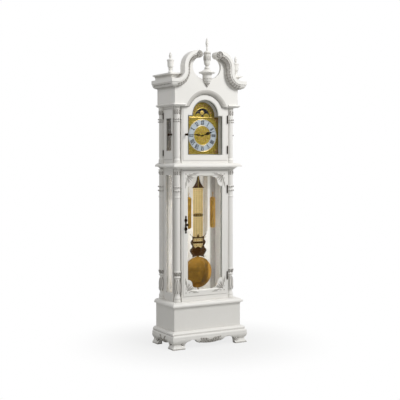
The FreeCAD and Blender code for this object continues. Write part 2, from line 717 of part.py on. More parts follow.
# Trunk
def trunk_back():
    return box(-CASE_HALF, CASE_HALF, BACK_BOARD_Y, BACK_Y, TRUNK_Z, SURBASE_Z)


def hood_back():
    low = box(-CASE_HALF, CASE_HALF, BACK_BOARD_Y, BACK_Y, HOOD_Z, FRIEZE_Z)
    high = box(-FRIEZE_HALF, FRIEZE_HALF, BACK_BOARD_Y, BACK_Y, FRIEZE_Z, CORNICE_Z)
    return low.fuse(high).removeSplitter()


def trunk_side():
    wall = box(INNER_HALF, CASE_HALF, SIDE_FRONT_Y, BACK_BOARD_Y, TRUNK_Z, SURBASE_Z)
    sill = TRUNK_Z + WINDOW_SILL
    light = box(INNER_HALF, CASE_HALF, WINDOW_FRONT_Y, WINDOW_BACK_Y, sill, sill + WINDOW_H)
    seat = box(INNER_HALF, INNER_HALF + REBATE, WINDOW_FRONT_Y - REBATE, WINDOW_BACK_Y + REBATE,
               sill - REBATE,
               sill + WINDOW_H + REBATE)
    return wall.cut(light).cut(seat)


def trunk_sides():
    return both_sides(trunk_side())


def trunk_side_glass():
    sill = TRUNK_Z + WINDOW_SILL
    edge = REBATE - GLASS_PLAY
    x1 = INNER_HALF + REBATE
    pane = box(x1 - GLASS_T, x1, WINDOW_FRONT_Y - edge, WINDOW_BACK_Y + edge, sill - edge,
               sill + WINDOW_H + edge)
    return both_sides(pane)


def stile_wings(z0, z1):
    wing = box(FRAME_HALF - STOP_LIP * 2, INNER_HALF, SIDE_FRONT_Y, SIDE_FRONT_Y + FRAME_WING_T, z0, z1)
    return [wing, mirrored(wing)]


def trunk_front_frame():
    half = DOOR_HALF + DOOR_PLAY
    low = TRUNK_DOOR_Z - DOOR_PLAY
    high = TRUNK_DOOR_TOP + DOOR_PLAY
    frame = box(-FRAME_HALF, FRAME_HALF, FRAME_FACE_Y, SIDE_FRONT_Y, TRUNK_Z, SURBASE_Z)
    frame = frame.multiFuse(stile_wings(TRUNK_Z, SURBASE_Z))
    frame = frame.cut(box(-half, half, FRAME_FACE_Y, FRAME_STOP_Y, low, high))
    inner = half - STOP_LIP
    frame = frame.cut(box(-inner, inner, FRAME_STOP_Y, INNER_HALF, low + STOP_LIP, high - STOP_LIP))
    reach = CAM_L + CAM_SLOT_PLAY
    slot = box(LATCH_X - reach, LATCH_X, CAM_Y - CAM_SLOT_PLAY, CAM_Y + CAM_T + CAM_SLOT_PLAY,
               LATCH_Z - reach,
               LATCH_Z + reach)
    return frame.cut(slot).removeSplitter()


def column(x, y, z, h, shares):
    return turned(x, y, z, COLUMN_R, h, shares)


def half_column(z, h, shares):
    whole = column(CASE_HALF, REAR_COLUMN_Y, z, h, shares)
    return whole.cut(box(0, CASE_HALF, 0, BACK_Y, z, z + h))


def columns(z, h, shares):
    front = column(COLUMN_X, COLUMN_Y, z, h, shares)
    rear = half_column(z, h, shares)
    return Part.makeCompound([front, mirrored(front), rear, mirrored(rear)])


def surbase():
    board = moulded_board(SURBASE_HALF, SURBASE_FRONT, BACK_Y, SURBASE_Z, SURBASE_OVERHANG, SURBASE_H,
                          SURBASE_EDGE_SHARES)
    return board.cut(box(-WELL_HALF, WELL_HALF, WELL_FRONT_Y, WELL_BACK_Y, SURBASE_Z, HOOD_Z))


# Hood
def hood_side():
    wall = box(INNER_HALF, CASE_HALF, SIDE_FRONT_Y, BACK_BOARD_Y, HOOD_Z, FRIEZE_Z)
    top = SIDE_DOOR_Z + SIDE_DOOR_H
    x0 = CASE_HALF - SIDE_DOOR_T
    pocket = box(x0, CASE_HALF, SIDE_DOOR_FRONT_Y, SIDE_DOOR_BACK_Y, SIDE_DOOR_Z, top)
    light = box(INNER_HALF, x0, SIDE_DOOR_FRONT_Y + SIDE_STOP, SIDE_DOOR_BACK_Y - SIDE_STOP,
                SIDE_DOOR_Z + SIDE_STOP,
                top - SIDE_STOP)
    return wall.cut(pocket).cut(light)


def hood_sides():
    return both_sides(hood_side())


def hood_front_frame():
    half = DOOR_HALF + DOOR_PLAY
    low = HOOD_DOOR_Z - DOOR_PLAY
    frame = box(-FRAME_HALF, FRAME_HALF, FRAME_FACE_Y, SIDE_FRONT_Y, HOOD_Z, FRIEZE_Z)
    frame = frame.multiFuse(stile_wings(HOOD_Z, FRIEZE_Z))
    frame = frame.cut(box(-half, half, FRAME_FACE_Y, FRAME_STOP_Y, low, FRIEZE_Z))
    inner = half - STOP_LIP
    frame = frame.cut(box(-inner, inner, FRAME_STOP_Y, INNER_HALF, low + STOP_LIP, FRIEZE_Z))
    return frame.removeSplitter()


def hood_entablature():
    wing = box(FRAME_HALF - STOP_LIP, FRIEZE_HALF, BOARD_BACK_Y, BACK_BOARD_Y, FRIEZE_Z,
               FRIEZE_Z + FRIEZE_T)
    frieze = box(FRIEZE_HALF - WALL, FRIEZE_HALF, BOARD_BACK_Y, BACK_BOARD_Y,
                 FRIEZE_Z + FRIEZE_T,
                 CORNICE_Z)
    half = FRIEZE_HALF - WALL
    top = box(-half, half, BOARD_BACK_Y, BACK_BOARD_Y, CORNICE_Z - TOP_BOARD_T, CORNICE_Z)
    return Part.makeCompound([wing, mirrored(wing), frieze, mirrored(frieze), top])


def frieze_mouldings():
    ring = moulded_board(FRIEZE_HALF, -BOARD_FRONT_Y, BACK_Y, FRIEZE_Z, FRIEZE_MOULD_OUT,
                         FRIEZE_MOULD_H,
                         FRIEZE_MOULD_SHARES)
    ring = ring.cut(box(-FRIEZE_HALF, FRIEZE_HALF, BOARD_FRONT_Y, BACK_Y, FRIEZE_Z,
                        CORNICE_Z))
    gap = box(-FRIEZE_MOULD_INNER_X, FRIEZE_MOULD_INNER_X, BOARD_FRONT_Y - FRIEZE_MOULD_OUT * 2,
              BOARD_FRONT_Y,
              FRIEZE_Z, CORNICE_Z)
    return ring.cut(gap)


# Pediment
def neck_spine(y, x_end):
    s = math.sqrt(2) / 2
    crown = V(NECK_ARC_X, y, NECK_ARC_Z + NECK_ARC_R)
    shoulder = V(NECK_ARC_X + NECK_ARC_R * s, y, NECK_ARC_Z + NECK_ARC_R * s)
    side = V(NECK_SIDE_X, y, NECK_ARC_Z)
    low = V(NECK_SIDE_X, y, NECK_FOOT_Z)
    bend = V(NECK_FOOT_X - NECK_FOOT_R * s, y, NECK_FOOT_Z - NECK_FOOT_R * s)
    foot = V(NECK_FOOT_X, y, CORNICE_Z)
    return [Part.makeLine(V(ROSETTE_X, y, crown.z), crown), Part.Arc(crown, shoulder, side).toShape(),
            Part.makeLine(side, low), Part.Arc(low, bend, foot).toShape(),
            Part.makeLine(foot, V(x_end, y, CORNICE_Z))]


def under_neck(y, depth):
    # The whole area below the upper edge of the right-hand swan neck and its straight run.
    edges = neck_spine(y, NECK_RUN_END_X)
    first = V(ROSETTE_X, y, NECK_ARC_Z + NECK_ARC_R)
    last = V(NECK_RUN_END_X, y, CORNICE_Z)
    edges += [Part.makeLine(last, V(NECK_RUN_END_X, y, FRIEZE_Z)),
              Part.makeLine(V(NECK_RUN_END_X, y, FRIEZE_Z), V(0, y, FRIEZE_Z)),
              Part.makeLine(V(0, y, FRIEZE_Z), V(0, y, first.z)),
              Part.makeLine(V(0, y, first.z), first)]
    return Part.Face(Part.Wire(edges)).extrude(V(0, depth, 0))


def arch_cove():
    rows = [(0, BOARD_FRONT_Y), (ARCH_R, BOARD_FRONT_Y, -COVE_BULGE_SHARE), (ARCH_BACK_R, BOARD_BACK_Y),
            (0, BOARD_BACK_Y)]
    face = Part.Face(outline(rows, lambda a, b: V(a, b, ARCH_Z)))
    return face.revolve(V(0, 0, ARCH_Z), V(0, 1, 0), 360)


def pediment_hole():
    ellipse = Part.Ellipse(V(0, BOARD_FRONT_Y, HOLE_Z), HOLE_HALF, HOLE_RISE)
    turned_up = ellipse.toShape()
    turned_up.rotate(V(0, BOARD_FRONT_Y, HOLE_Z), V(1, 0, 0), 90)
    hole = Part.Face(Part.Wire([turned_up])).extrude(V(0, BOARD_T, 0))
    gap = box(-ROSETTE_X, ROSETTE_X, BOARD_FRONT_Y, BOARD_BACK_Y, HOLE_Z, CENTRE_FINIAL_TOP)
    return hole.fuse(gap)


def rosette_space(x):
    return rod(x, BOARD_BACK_Y, ROSETTE_Z, ROSETTE_R, CORNICE_OUT * 2, V(0, -1, 0))


def pediment_board():
    half = under_neck(BOARD_FRONT_Y, BOARD_T)
    half = half.common(box(0, FRIEZE_HALF, BOARD_FRONT_Y, BOARD_BACK_Y, FRIEZE_Z,
                           CENTRE_FINIAL_TOP))
    board = half.fuse(mirrored(half)).cut(arch_cove()).cut(pediment_hole())
    return board.cut(rosette_space(ROSETTE_X)).cut(rosette_space(-ROSETTE_X)).removeSplitter()


def neck_section(x, z, share):
    rows = [(BOARD_FRONT_Y - CORNICE_OUT * row[0],
             z - CORNICE_H * share * row[1]) + row[2:] for row in CORNICE_SHARES]
    return outline(rows, on_side(x))


def cornice_mitre(z0, z1):
    # Takes in everything in front of the mitre line that leaves the right-hand front corner.
    x0 = FRIEZE_HALF
    reach = CORNICE_OUT * 2
    rows = [(0, BOARD_FRONT_Y - reach), (x0 + reach, BOARD_FRONT_Y - reach), (x0, BOARD_FRONT_Y),
            (0, BOARD_FRONT_Y)]
    return prism(rows, on_plan(z0), V(0, 0, z1 - z0))


def swan_neck():
    spine = Part.Wire(neck_spine(BOARD_FRONT_Y, NECK_RUN_END_X))
    sections = [neck_section(ROSETTE_X, NECK_ARC_Z + NECK_ARC_R, NECK_END_SHARE),
                neck_section(NECK_RUN_END_X, CORNICE_Z, 1)]
    neck = spine.makePipeShell(sections, True, False)
    neck = neck.common(cornice_mitre(FRIEZE_Z, CENTRE_FINIAL_TOP))
    return neck.cut(rosette_space(ROSETTE_X))


def cornice_side():
    rows = [(FRIEZE_HALF + CORNICE_OUT * row[0],
             CORNICE_Z - CORNICE_H * row[1]) + tuple(-b for b in row[2:])
            for row in CORNICE_SHARES]
    run = prism(rows, on_front(BACK_Y), V(0, BOARD_FRONT_Y - BACK_Y - CORNICE_OUT * 2, 0))
    return run.cut(cornice_mitre(FRIEZE_Z, CENTRE_FINIAL_TOP))


def cornice_sides():
    return both_sides(cornice_side())


def parapet():
    z0 = CORNICE_Z
    z1 = z0 + PARAPET_H
    block = box(PARAPET_IN_X, PARAPET_OUT_X, BOARD_BACK_Y, BACK_Y, z0, z1)
    cap = moulded_board(PARAPET_OUT_X, PARAPET_CAP_FRONT - PARAPET_CAP_OUT, BACK_Y, z1, PARAPET_CAP_OUT,
                        PARAPET_CAP_H,
                        PARAPET_CAP_SHARES)
    cap = cap.common(box(PARAPET_IN_X - PARAPET_CAP_OUT, PARAPET_OUT_X * 2, -BACK_Y, BACK_Y, z1,
                         z1 + PARAPET_CAP_H))
    front = under_neck(BOARD_FRONT_Y - CORNICE_OUT, CORNICE_OUT + BOARD_T)
    return block.fuse(cap).cut(front).removeSplitter()


def parapets():
    return both_sides(parapet())


def rosettes():
    return both_sides(turned_forward(ROSETTE_X, BOARD_BACK_Y, ROSETTE_Z, ROSETTE_R, ROSETTE_L,
                                     ROSETTE_SHARES))


def side_finials():
    z = CORNICE_Z + PARAPET_H + PARAPET_CAP_H
    return both_sides(turned(SIDE_FINIAL_X, SIDE_FINIAL_Y, z, SIDE_FINIAL_R, SIDE_FINIAL_H,
                             SIDE_FINIAL_SHARES))


def finial_bracket():
    rows = [(0, CORBEL_Z), (CORBEL_TIP_R, CORBEL_Z, CORBEL_BEND_SHARE), (CORBEL_R, DISH_Z), (0, DISH_Z)]
    face = Part.Face(outline(rows, lambda a, b: V(a, CENTRE_FINIAL_Y, b)))
    corbel = face.revolve(V(0, CENTRE_FINIAL_Y, 0), V(0, 0, 1), 360)
    dish = turned(0, CENTRE_FINIAL_Y, DISH_Z, DISH_R, DISH_H, DISH_SHARES)
    behind = box(-DISH_R, DISH_R, BOARD_FRONT_Y, BACK_Y, CORBEL_Z, HOLE_Z - HOLE_RISE)
    return corbel.fuse(dish).cut(behind).cut(pediment_board()).removeSplitter()


def centre_finial():
    z = DISH_Z + DISH_H
    return turned(0, CENTRE_FINIAL_Y, z, CENTRE_FINIAL_R, CENTRE_FINIAL_TOP - z, CENTRE_FINIAL_SHARES)


# Doors
def bevel_cut(rows_front, rows_back, y0, y1):
    return Part.makeLoft([outline(rows_front, on_front(y0)), outline(rows_back, on_front(y1))], True,
                         True)


def rectangle(half, z0, z1, grow):
    return [(-half - grow, z0 - grow), (half + grow, z0 - grow), (half + grow, z1 + grow),
            (-half - grow, z1 + grow)]


def arched(half, z0, shoulder, r, grow):
    radius = r + grow
    level = shoulder + grow
    x = math.sqrt(radius * radius - (level - ARCH_Z) * (level - ARCH_Z))
    bend = (ARCH_Z + radius - level) / x
    return [(-half - grow, z0 - grow), (half + grow, z0 - grow), (half + grow, level), (x, level, bend),
            (-x, level),
            (-half - grow, level)]


def framed_door(outer, pane, seat):
    back_y = DOOR_FRONT_Y + DOOR_T
    door = prism(outer, on_front(DOOR_FRONT_Y), V(0, DOOR_T, 0))
    door = door.cut(prism(pane(0), on_front(DOOR_FRONT_Y), V(0, DOOR_T, 0)))
    door = door.cut(bevel_cut(pane(PANE_BEVEL), pane(0), DOOR_FRONT_Y, DOOR_FRONT_Y + PANE_BEVEL_D))
    return door.cut(prism(seat, on_front(PANE_SEAT_Y), V(0, back_y - PANE_SEAT_Y, 0)))


def hood_pane(grow):
    return arched(HOOD_PANE_HALF, HOOD_PANE_Z, HOOD_PANE_SHOULDER, HOOD_PANE_ARCH_R, grow)


def trunk_pane(grow):
    return rectangle(TRUNK_PANE_HALF, TRUNK_PANE_Z, TRUNK_PANE_TOP, grow)


def hood_door_frame():
    outer = arched(DOOR_HALF, HOOD_DOOR_Z, HOOD_DOOR_SHOULDER, HOOD_DOOR_ARCH_R, 0)
    return framed_door(outer, hood_pane, hood_pane(REBATE))


def hood_door_glass():
    return prism(hood_pane(REBATE - GLASS_PLAY), on_front(PANE_SEAT_Y), V(0, PANE_T, 0))


def spandrel(x_sign, z_corner, z_sign):
    w = SPANDREL_W
    h = SPANDREL_H
    m = SPANDREL_MID_SHARE
    bend = SPANDREL_BEND_SHARE * x_sign * z_sign
    edge = x_sign * (TRUNK_PANE_HALF + PANE_BEVEL)
    top = z_corner + z_sign * PANE_BEVEL
    x = x_sign * TRUNK_PANE_HALF
    rows = [(edge, top), (x - x_sign * w, top),
            (x - x_sign * w, z_corner - z_sign * SPANDREL_LIP, -bend),
            (x - x_sign * w * m, z_corner - z_sign * h * m, bend),
            (x - x_sign * SPANDREL_LIP, z_corner - z_sign * h),
            (edge, z_corner - z_sign * h)]
    y = PANE_SEAT_Y - SPANDREL_T
    return prism(rows, on_front(y), V(0, SPANDREL_T, 0))


def trunk_door_frame():
    outer = rectangle(DOOR_HALF, TRUNK_DOOR_Z, TRUNK_DOOR_TOP, 0)
    door = framed_door(outer, trunk_pane, trunk_pane(REBATE))
    corners = [spandrel(sign, TRUNK_PANE_TOP, 1) for sign in (-1, 1)]
    corners += [spandrel(sign, TRUNK_PANE_Z, -1) for sign in (-1, 1)]
    door = door.multiFuse(corners)
    bore = rod(LATCH_X, DOOR_FRONT_Y, LATCH_Z, LATCH_R + LATCH_PLAY, DOOR_T, V(0, 1, 0))
    return door.cut(bore).removeSplitter()


def trunk_door_glass():
    return prism(trunk_pane(REBATE - GLASS_PLAY), on_front(PANE_SEAT_Y), V(0, PANE_T, 0))


def knuckles(r, length, leaf_d):
    # A butt hinge about the Z axis, with the moving leaf on the -X side. Both leaves run back along +Y.
    third = length / 3
    half_gap = DOOR_PLAY / 2
    up = V(0, 0, 1)
    barrel = rod(0, 0, -length / 2, r, length, up)
    middle = rod(0, 0, -third / 2, r * 2, third, up)
    leaf = box(-half_gap, HINGE_LEAF_T - half_gap, 0, leaf_d + r, -length / 2, length / 2)
    hole = rod(0, 0, -third / 2, HINGE_PIN_R + HINGE_PLAY, third, up)
    moving = barrel.common(rod(0, 0, KNUCKLE_GAP - third / 2, r * 2, third - KNUCKLE_GAP * 2, up))
    around = barrel.cut(rod(0, 0, KNUCKLE_GAP - third / 2, r * 2, third - KNUCKLE_GAP * 2, up))
    clear = rod(0, 0, -length / 2, r + KNUCKLE_GAP, length, up)
    tab = leaf.common(rod(0, 0, KNUCKLE_GAP - third / 2, r * 2, third - KNUCKLE_GAP * 2, up))
    moving = moving.multiFuse([leaf.cut(clear), tab]).cut(hole)
    ends = barrel.cut(middle)
    fixed_leaf = leaf.mirror(V(0, 0, 0), V(1, 0, 0))
    fixed_tab = fixed_leaf.cut(middle)
    pin = rod(0, 0, -length / 2, HINGE_PIN_R, length, up)
    fixed = ends.multiFuse([fixed_tab, fixed_leaf.cut(clear), pin])
    return fixed.removeSplitter(), moving.removeSplitter()


def placed(shape, x, y, z):
    copy = shape.copy()
    copy.translate(V(x, y, z))
    return copy


def front_hinges(levels, part):
    pair = knuckles(HINGE_R, HINGE_L, HINGE_LEAF_D)
    return [placed(pair[part], HINGE_X, HINGE_Y, z) for z in levels]


SIDE_HINGE_X = CASE_HALF + SIDE_DOOR_PROUD + SIDE_HINGE_R
SIDE_HINGE_Y = SIDE_DOOR_BACK_Y - DOOR_PLAY / 2


def side_hinges(part):
    piece = knuckles(SIDE_HINGE_R, SIDE_HINGE_L, SIDE_HINGE_LEAF_D)[part]
    piece.rotate(V(0, 0, 0), V(0, 0, 1), 90)
    return [placed(piece, SIDE_HINGE_X, SIDE_HINGE_Y, z) for z in SIDE_HINGE_Z]


def case_hinge_leaves():
    fixed = front_hinges(HOOD_HINGE_Z, 0) + front_hinges(TRUNK_HINGE_Z, 0)
    right = side_hinges(0)
    return Part.makeCompound(fixed + right + [mirrored(piece) for piece in right])


def knob(x, z, y):
    return turned_forward(x, y, z, KNOB_R, KNOB_L, KNOB_SHARES)


def hood_door_fittings():
    return Part.makeCompound(front_hinges(HOOD_HINGE_Z,
                                          1) + [knob(HOOD_KNOB_X, HOOD_KNOB_Z, DOOR_FRONT_Y)])


def lock_plate():
    z0 = LATCH_Z - PLATE_H / 2
    side = [(PLATE_W / 2 * row[0], z0 + PLATE_H * row[1]) + row[2:] for row in PLATE_SHARES]
    other = [(-row[0], row[1]) + row[2:] for row in flipped(side)]
    rows = [(LATCH_X + row[0], row[1]) + row[2:] for row in side + other]
    plate = prism(rows, on_front(DOOR_FRONT_Y), V(0, -PLATE_T, 0))
    return plate.cut(rod(LATCH_X, DOOR_FRONT_Y, LATCH_Z, LATCH_R + LATCH_PLAY, PLATE_T, V(0, -1, 0)))


def trunk_door_fittings():
    return Part.makeCompound(front_hinges(TRUNK_HINGE_Z, 1) + [lock_plate()])


def trunk_door_latch():
    face = DOOR_FRONT_Y - PLATE_T - GLASS_PLAY
    head = knob(LATCH_X, LATCH_Z, face)
    spindle = rod(LATCH_X, face, LATCH_Z, LATCH_R, CAM_Y + CAM_T - face, V(0, 1, 0))
    cam = box(LATCH_X - CAM_HALF, LATCH_X + CAM_HALF, CAM_Y, CAM_Y + CAM_T, LATCH_Z - CAM_L,
              LATCH_Z + CAM_HALF)
    return head.multiFuse([spindle, cam]).removeSplitter()


def side_door():
    x1 = CASE_HALF + SIDE_DOOR_PROUD
    x0 = x1 - SIDE_DOOR_T + SIDE_DOOR_PROUD * 2
    gap = DOOR_PLAY
    door = box(x0, x1, SIDE_DOOR_FRONT_Y + gap, SIDE_DOOR_BACK_Y - gap, SIDE_DOOR_Z + gap,
               SIDE_DOOR_Z + SIDE_DOOR_H - gap)
    seat = x0 + SIDE_STOP
    door = door.cut(box(x0, x1, SLOT_FRONT_Y, SLOT_BACK_Y, SLOT_Z, SLOT_Z + SLOT_H))
    return door.cut(box(x0, seat, SLOT_FRONT_Y - SIDE_STOP, SLOT_BACK_Y + SIDE_STOP, SLOT_Z - SIDE_STOP,
                        SLOT_Z + SLOT_H + SIDE_STOP))


def side_pane():
    seat = CASE_HALF + SIDE_DOOR_PROUD * 3 - SIDE_DOOR_T + SIDE_STOP
    edge = SIDE_STOP - GLASS_PLAY
    return box(seat - SIDE_PANE_T, seat, SLOT_FRONT_Y - edge, SLOT_BACK_Y + edge, SLOT_Z - edge,
               SLOT_Z + SLOT_H + edge)


def side_fittings():
    head = knob(0, 0, 0)
    head.rotate(V(0, 0, 0), V(0, 0, 1), 90)
    head.translate(V(CASE_HALF + SIDE_DOOR_PROUD, SIDE_KNOB_Y, HOOD_KNOB_Z))
    return Part.makeCompound([head] + side_hinges(1))


# Movement seat and frame
def seat_cheek():
    return box(SEAT_HALF - CHEEK_T, SEAT_HALF, SEAT_SHOULDER_Y, SEAT_BACK_Y, HOOD_Z, SEAT_Z)


def movement_seat():
    board = box(-SEAT_HALF, SEAT_HALF, SEAT_SHOULDER_Y, SEAT_BACK_Y, SEAT_Z, SEAT_Z + SEAT_T)
    board = board.fuse(box(-SEAT_TONGUE_HALF, SEAT_TONGUE_HALF, SEAT_FRONT_Y, SEAT_SHOULDER_Y, SEAT_Z,
                           SEAT_Z + SEAT_T))
    board = board.cut(box(-SEAT_SLOT_HALF, SEAT_SLOT_HALF, SEAT_SLOT_Y, SEAT_BACK_Y, SEAT_Z,
                          SEAT_Z + SEAT_T))
    for x in (-WEIGHT_X, WEIGHT_X):
        board = board.cut(rod(x, WEIGHT_Y, SEAT_Z, GUIDE_R, SEAT_T, V(0, 0, 1)))
    return Part.makeCompound([board.removeSplitter(), seat_cheek(), mirrored(seat_cheek())])


def line_guides():
    ring = rod(WEIGHT_X, WEIGHT_Y, SEAT_Z, GUIDE_R, SEAT_T, V(0, 0, 1))
    rows = [(0, SEAT_Z), (GUIDE_BORE_R, SEAT_Z), (GUIDE_BORE_R, SEAT_Z + GUIDE_H),
            (GUIDE_R, SEAT_Z + SEAT_T),
            (0, SEAT_Z + SEAT_T)]
    face = Part.Face(outline(rows, lambda a, b: V(WEIGHT_X + a, WEIGHT_Y, b)))
    return both_sides(ring.cut(face.revolve(V(WEIGHT_X, WEIGHT_Y, 0), V(0, 0, 1), 360)))


def plate_blank(y):
    return box(-PLATE_HALF_X, PLATE_HALF_X, y, y + MOVEMENT_PLATE_T, MOVEMENT_Z, MOVEMENT_TOP)


def pivot_hole(x, z, r):
    return rod(x, FRONT_PLATE_Y, z, r + PIVOT_PLAY, BACK_PLATE_Y + MOVEMENT_PLATE_T - FRONT_PLATE_Y,
               V(0, 1, 0))


def pillar_places():
    xs = (PILLAR_INSET - PLATE_HALF_X, PLATE_HALF_X - PILLAR_INSET)
    zs = (MOVEMENT_Z + PILLAR_INSET, MOVEMENT_TOP - PILLAR_INSET)
    return [(x, z) for x in xs for z in zs]


def suspension_cock():
    y0 = BACK_PLATE_Y + MOVEMENT_PLATE_T
    y1 = PENDULUM_Y + STRIP_T + COCK_T
    arm = box(-COCK_HALF, COCK_HALF, y0, y1, COCK_Z, COCK_Z + COCK_T)
    lug = box(-COCK_HALF, COCK_HALF, y1 - COCK_T, y1, PIVOT_Z - EYE_R, COCK_Z)
    pin = rod(0, y1 - COCK_T, PIVOT_Z, PIVOT_R, STRIP_T * 2 + GLASS_PLAY, V(0, -1, 0))
    return arm.multiFuse([lug, pin])


def movement_frame():
    holes = [pivot_hole(-WIND_X, WIND_Z, ARBOR_R), pivot_hole(WIND_X, WIND_Z, ARBOR_R),
             pivot_hole(0, DIAL_Z, MINUTE_ARBOR_R), pivot_hole(0, PIVOT_Z, CRUTCH_ARBOR_R),
             pivot_hole(0, ESCAPE_Z, ESCAPE_ARBOR_R)]
    plates = [plate_blank(FRONT_PLATE_Y), plate_blank(BACK_PLATE_Y)]
    for hole in holes:
        plates = [plate.cut(hole) for plate in plates]
    y = FRONT_PLATE_Y + MOVEMENT_PLATE_T
    pillars = [rod(x, y, z, PILLAR_R, BACK_PLATE_Y - y, V(0, 1, 0)) for x, z in pillar_places()]
    back = plates[1].fuse(suspension_cock()).removeSplitter()
    return Part.makeCompound([plates[0], back] + pillars)


# Dial
def dial_outline(grow):
    level = DIAL_Z + DIAL_HALF
    x = math.sqrt(DIAL_ARCH_R * DIAL_ARCH_R - (level - DIAL_ARCH_Z) * (level - DIAL_ARCH_Z))
    bend = (DIAL_ARCH_Z + DIAL_ARCH_R - level) / x
    return [(-DIAL_HALF - grow, DIAL_Z - DIAL_HALF), (DIAL_HALF + grow, DIAL_Z - DIAL_HALF),
            (DIAL_HALF + grow, level),
            (x, level, bend), (-x, level), (-DIAL_HALF - grow, level)]


def moon_window():
    disc = rod(0, DIAL_Y, MOON_WINDOW_Z, MOON_WINDOW_R, DIAL_T, V(0, 1, 0))
    window = disc.cut(box(-MOON_R, MOON_R, DIAL_Y, DIAL_Y + DIAL_T, MOON_Z - MOON_R, MOON_WINDOW_Z))
    for x in (-HUMP_X, HUMP_X):
        window = window.cut(rod(x, DIAL_Y, MOON_WINDOW_Z, HUMP_R, DIAL_T, V(0, 1, 0)))
    return window


def dial_plate():
    plate = prism(dial_outline(0), on_front(DIAL_Y), V(0, DIAL_T, 0)).cut(moon_window())
    plate = plate.cut(rod(0, DIAL_Y, DIAL_Z, HOUR_PIPE_R + GLASS_PLAY, DIAL_T, V(0, 1, 0)))
    for x in (-WIND_X, WIND_X):
        plate = plate.cut(rod(x, DIAL_Y, WIND_Z, WIND_HOLE_R, DIAL_T, V(0, 1, 0)))
    back = DIAL_Y + DIAL_T
    feet = [rod(x, back, z, DIAL_FOOT_R, FRONT_PLATE_Y - back, V(0, 1, 0)) for x in (-DIAL_FOOT_X,
                                                                                     DIAL_FOOT_X)
            for z in DIAL_FOOT_Z]
    stud = rod(0, back, MOON_Z, MOON_STUD_R, MOON_GAP + MOON_T * 2, V(0, 1, 0))
    return plate.multiFuse(feet + [stud]).removeSplitter()


def chapter_ring():
    ring = rod(0, DIAL_Y, DIAL_Z, CHAPTER_R, CHAPTER_T, V(0, -1, 0))
    return ring.cut(rod(0, DIAL_Y, DIAL_Z, CHAPTER_IN_R, CHAPTER_T, V(0, -1, 0)))


def moon_disc():
    y = DIAL_Y + DIAL_T + MOON_GAP
    disc = rod(0, y, MOON_Z, MOON_R, MOON_T, V(0, 1, 0))
    return disc.cut(rod(0, y, MOON_Z, MOON_STUD_R + PIVOT_PLAY, MOON_T, V(0, 1, 0)))


def hand_blade(length, y, angle):
    right = [(length * row[1], length * row[0]) + row[2:] for row in HAND_SHARES]
    left = [(-row[0], row[1]) + row[2:] for row in flipped(right)]
    blade = prism(right + left, on_front(y), V(0, HAND_T, 0))
    hub = rod(0, y, 0, HUB_R, HAND_T, V(0, 1, 0))
    eye = rod(0, y, length * HAND_EYE_SHARE, length * HAND_EYE_R_SHARE, HAND_T, V(0, 1, 0))
    blade = blade.fuse(hub).cut(eye)
    blade.rotate(V(0, 0, 0), V(0, 1, 0), angle)
    blade.translate(V(0, 0, DIAL_Z))
    return blade


def minute_hand():
    blade = hand_blade(MINUTE_L, MINUTE_HAND_Y, MINUTE_ANGLE)
    arbor = rod(0, MINUTE_HAND_Y - HAND_T, DIAL_Z, MINUTE_ARBOR_R, ARBOR_END_Y - MINUTE_HAND_Y + HAND_T,
                V(0, 1, 0))
    return blade.fuse(arbor).removeSplitter()


def hour_hand():
    blade = hand_blade(HOUR_L, HOUR_HAND_Y, HOUR_ANGLE)
    pipe_end = FRONT_PLATE_Y - GLASS_PLAY
    pipe = rod(0, HOUR_HAND_Y, DIAL_Z, HOUR_PIPE_R, pipe_end - HOUR_HAND_Y, V(0, 1, 0))
    bore = rod(0, HOUR_HAND_Y, DIAL_Z, MINUTE_ARBOR_R + PIVOT_PLAY, pipe_end - HOUR_HAND_Y, V(0, 1, 0))
    return blade.fuse(pipe).cut(bore).removeSplitter()


# Winding drums
def toothed_wheel(x, y, z, r, t, count):
    root = r - TOOTH_H
    step = math.pi * 2 / count
    rows = []
    for i in range(count):
        for radius, share in ((root, -TOOTH_ROOT_SHARE), (r, -TOOTH_TIP_SHARE), (r, TOOTH_TIP_SHARE),
                              (root, TOOTH_ROOT_SHARE)):
            a = step * (i + share / 2)
            rows.append((x + radius * math.cos(a), z + radius * math.sin(a)))
    return prism(rows, on_front(y), V(0, t, 0))


def drum(x):
    ahead = V(0, 1, 0)
    barrel = rod(x, DRUM_FRONT_Y, WIND_Z, DRUM_R, DRUM_BACK_Y - DRUM_FRONT_Y, ahead)
    flange = rod(x, DRUM_FRONT_Y, WIND_Z, DRUM_FLANGE_R, DRUM_FLANGE_T, ahead)
    wheel = toothed_wheel(x, DRUM_BACK_Y, WIND_Z, GREAT_WHEEL_R, GREAT_WHEEL_T, TEETH)
    arbor = rod(x, SQUARE_END_Y, WIND_Z, ARBOR_R, BACK_PLATE_Y + MOVEMENT_PLATE_T - SQUARE_END_Y, ahead)
    square = box(x - SQUARE_HALF, x + SQUARE_HALF, SQUARE_Y, SQUARE_END_Y, WIND_Z - SQUARE_HALF,
                 WIND_Z + SQUARE_HALF)
    return barrel.multiFuse([flange, wheel, arbor, square]).removeSplitter()


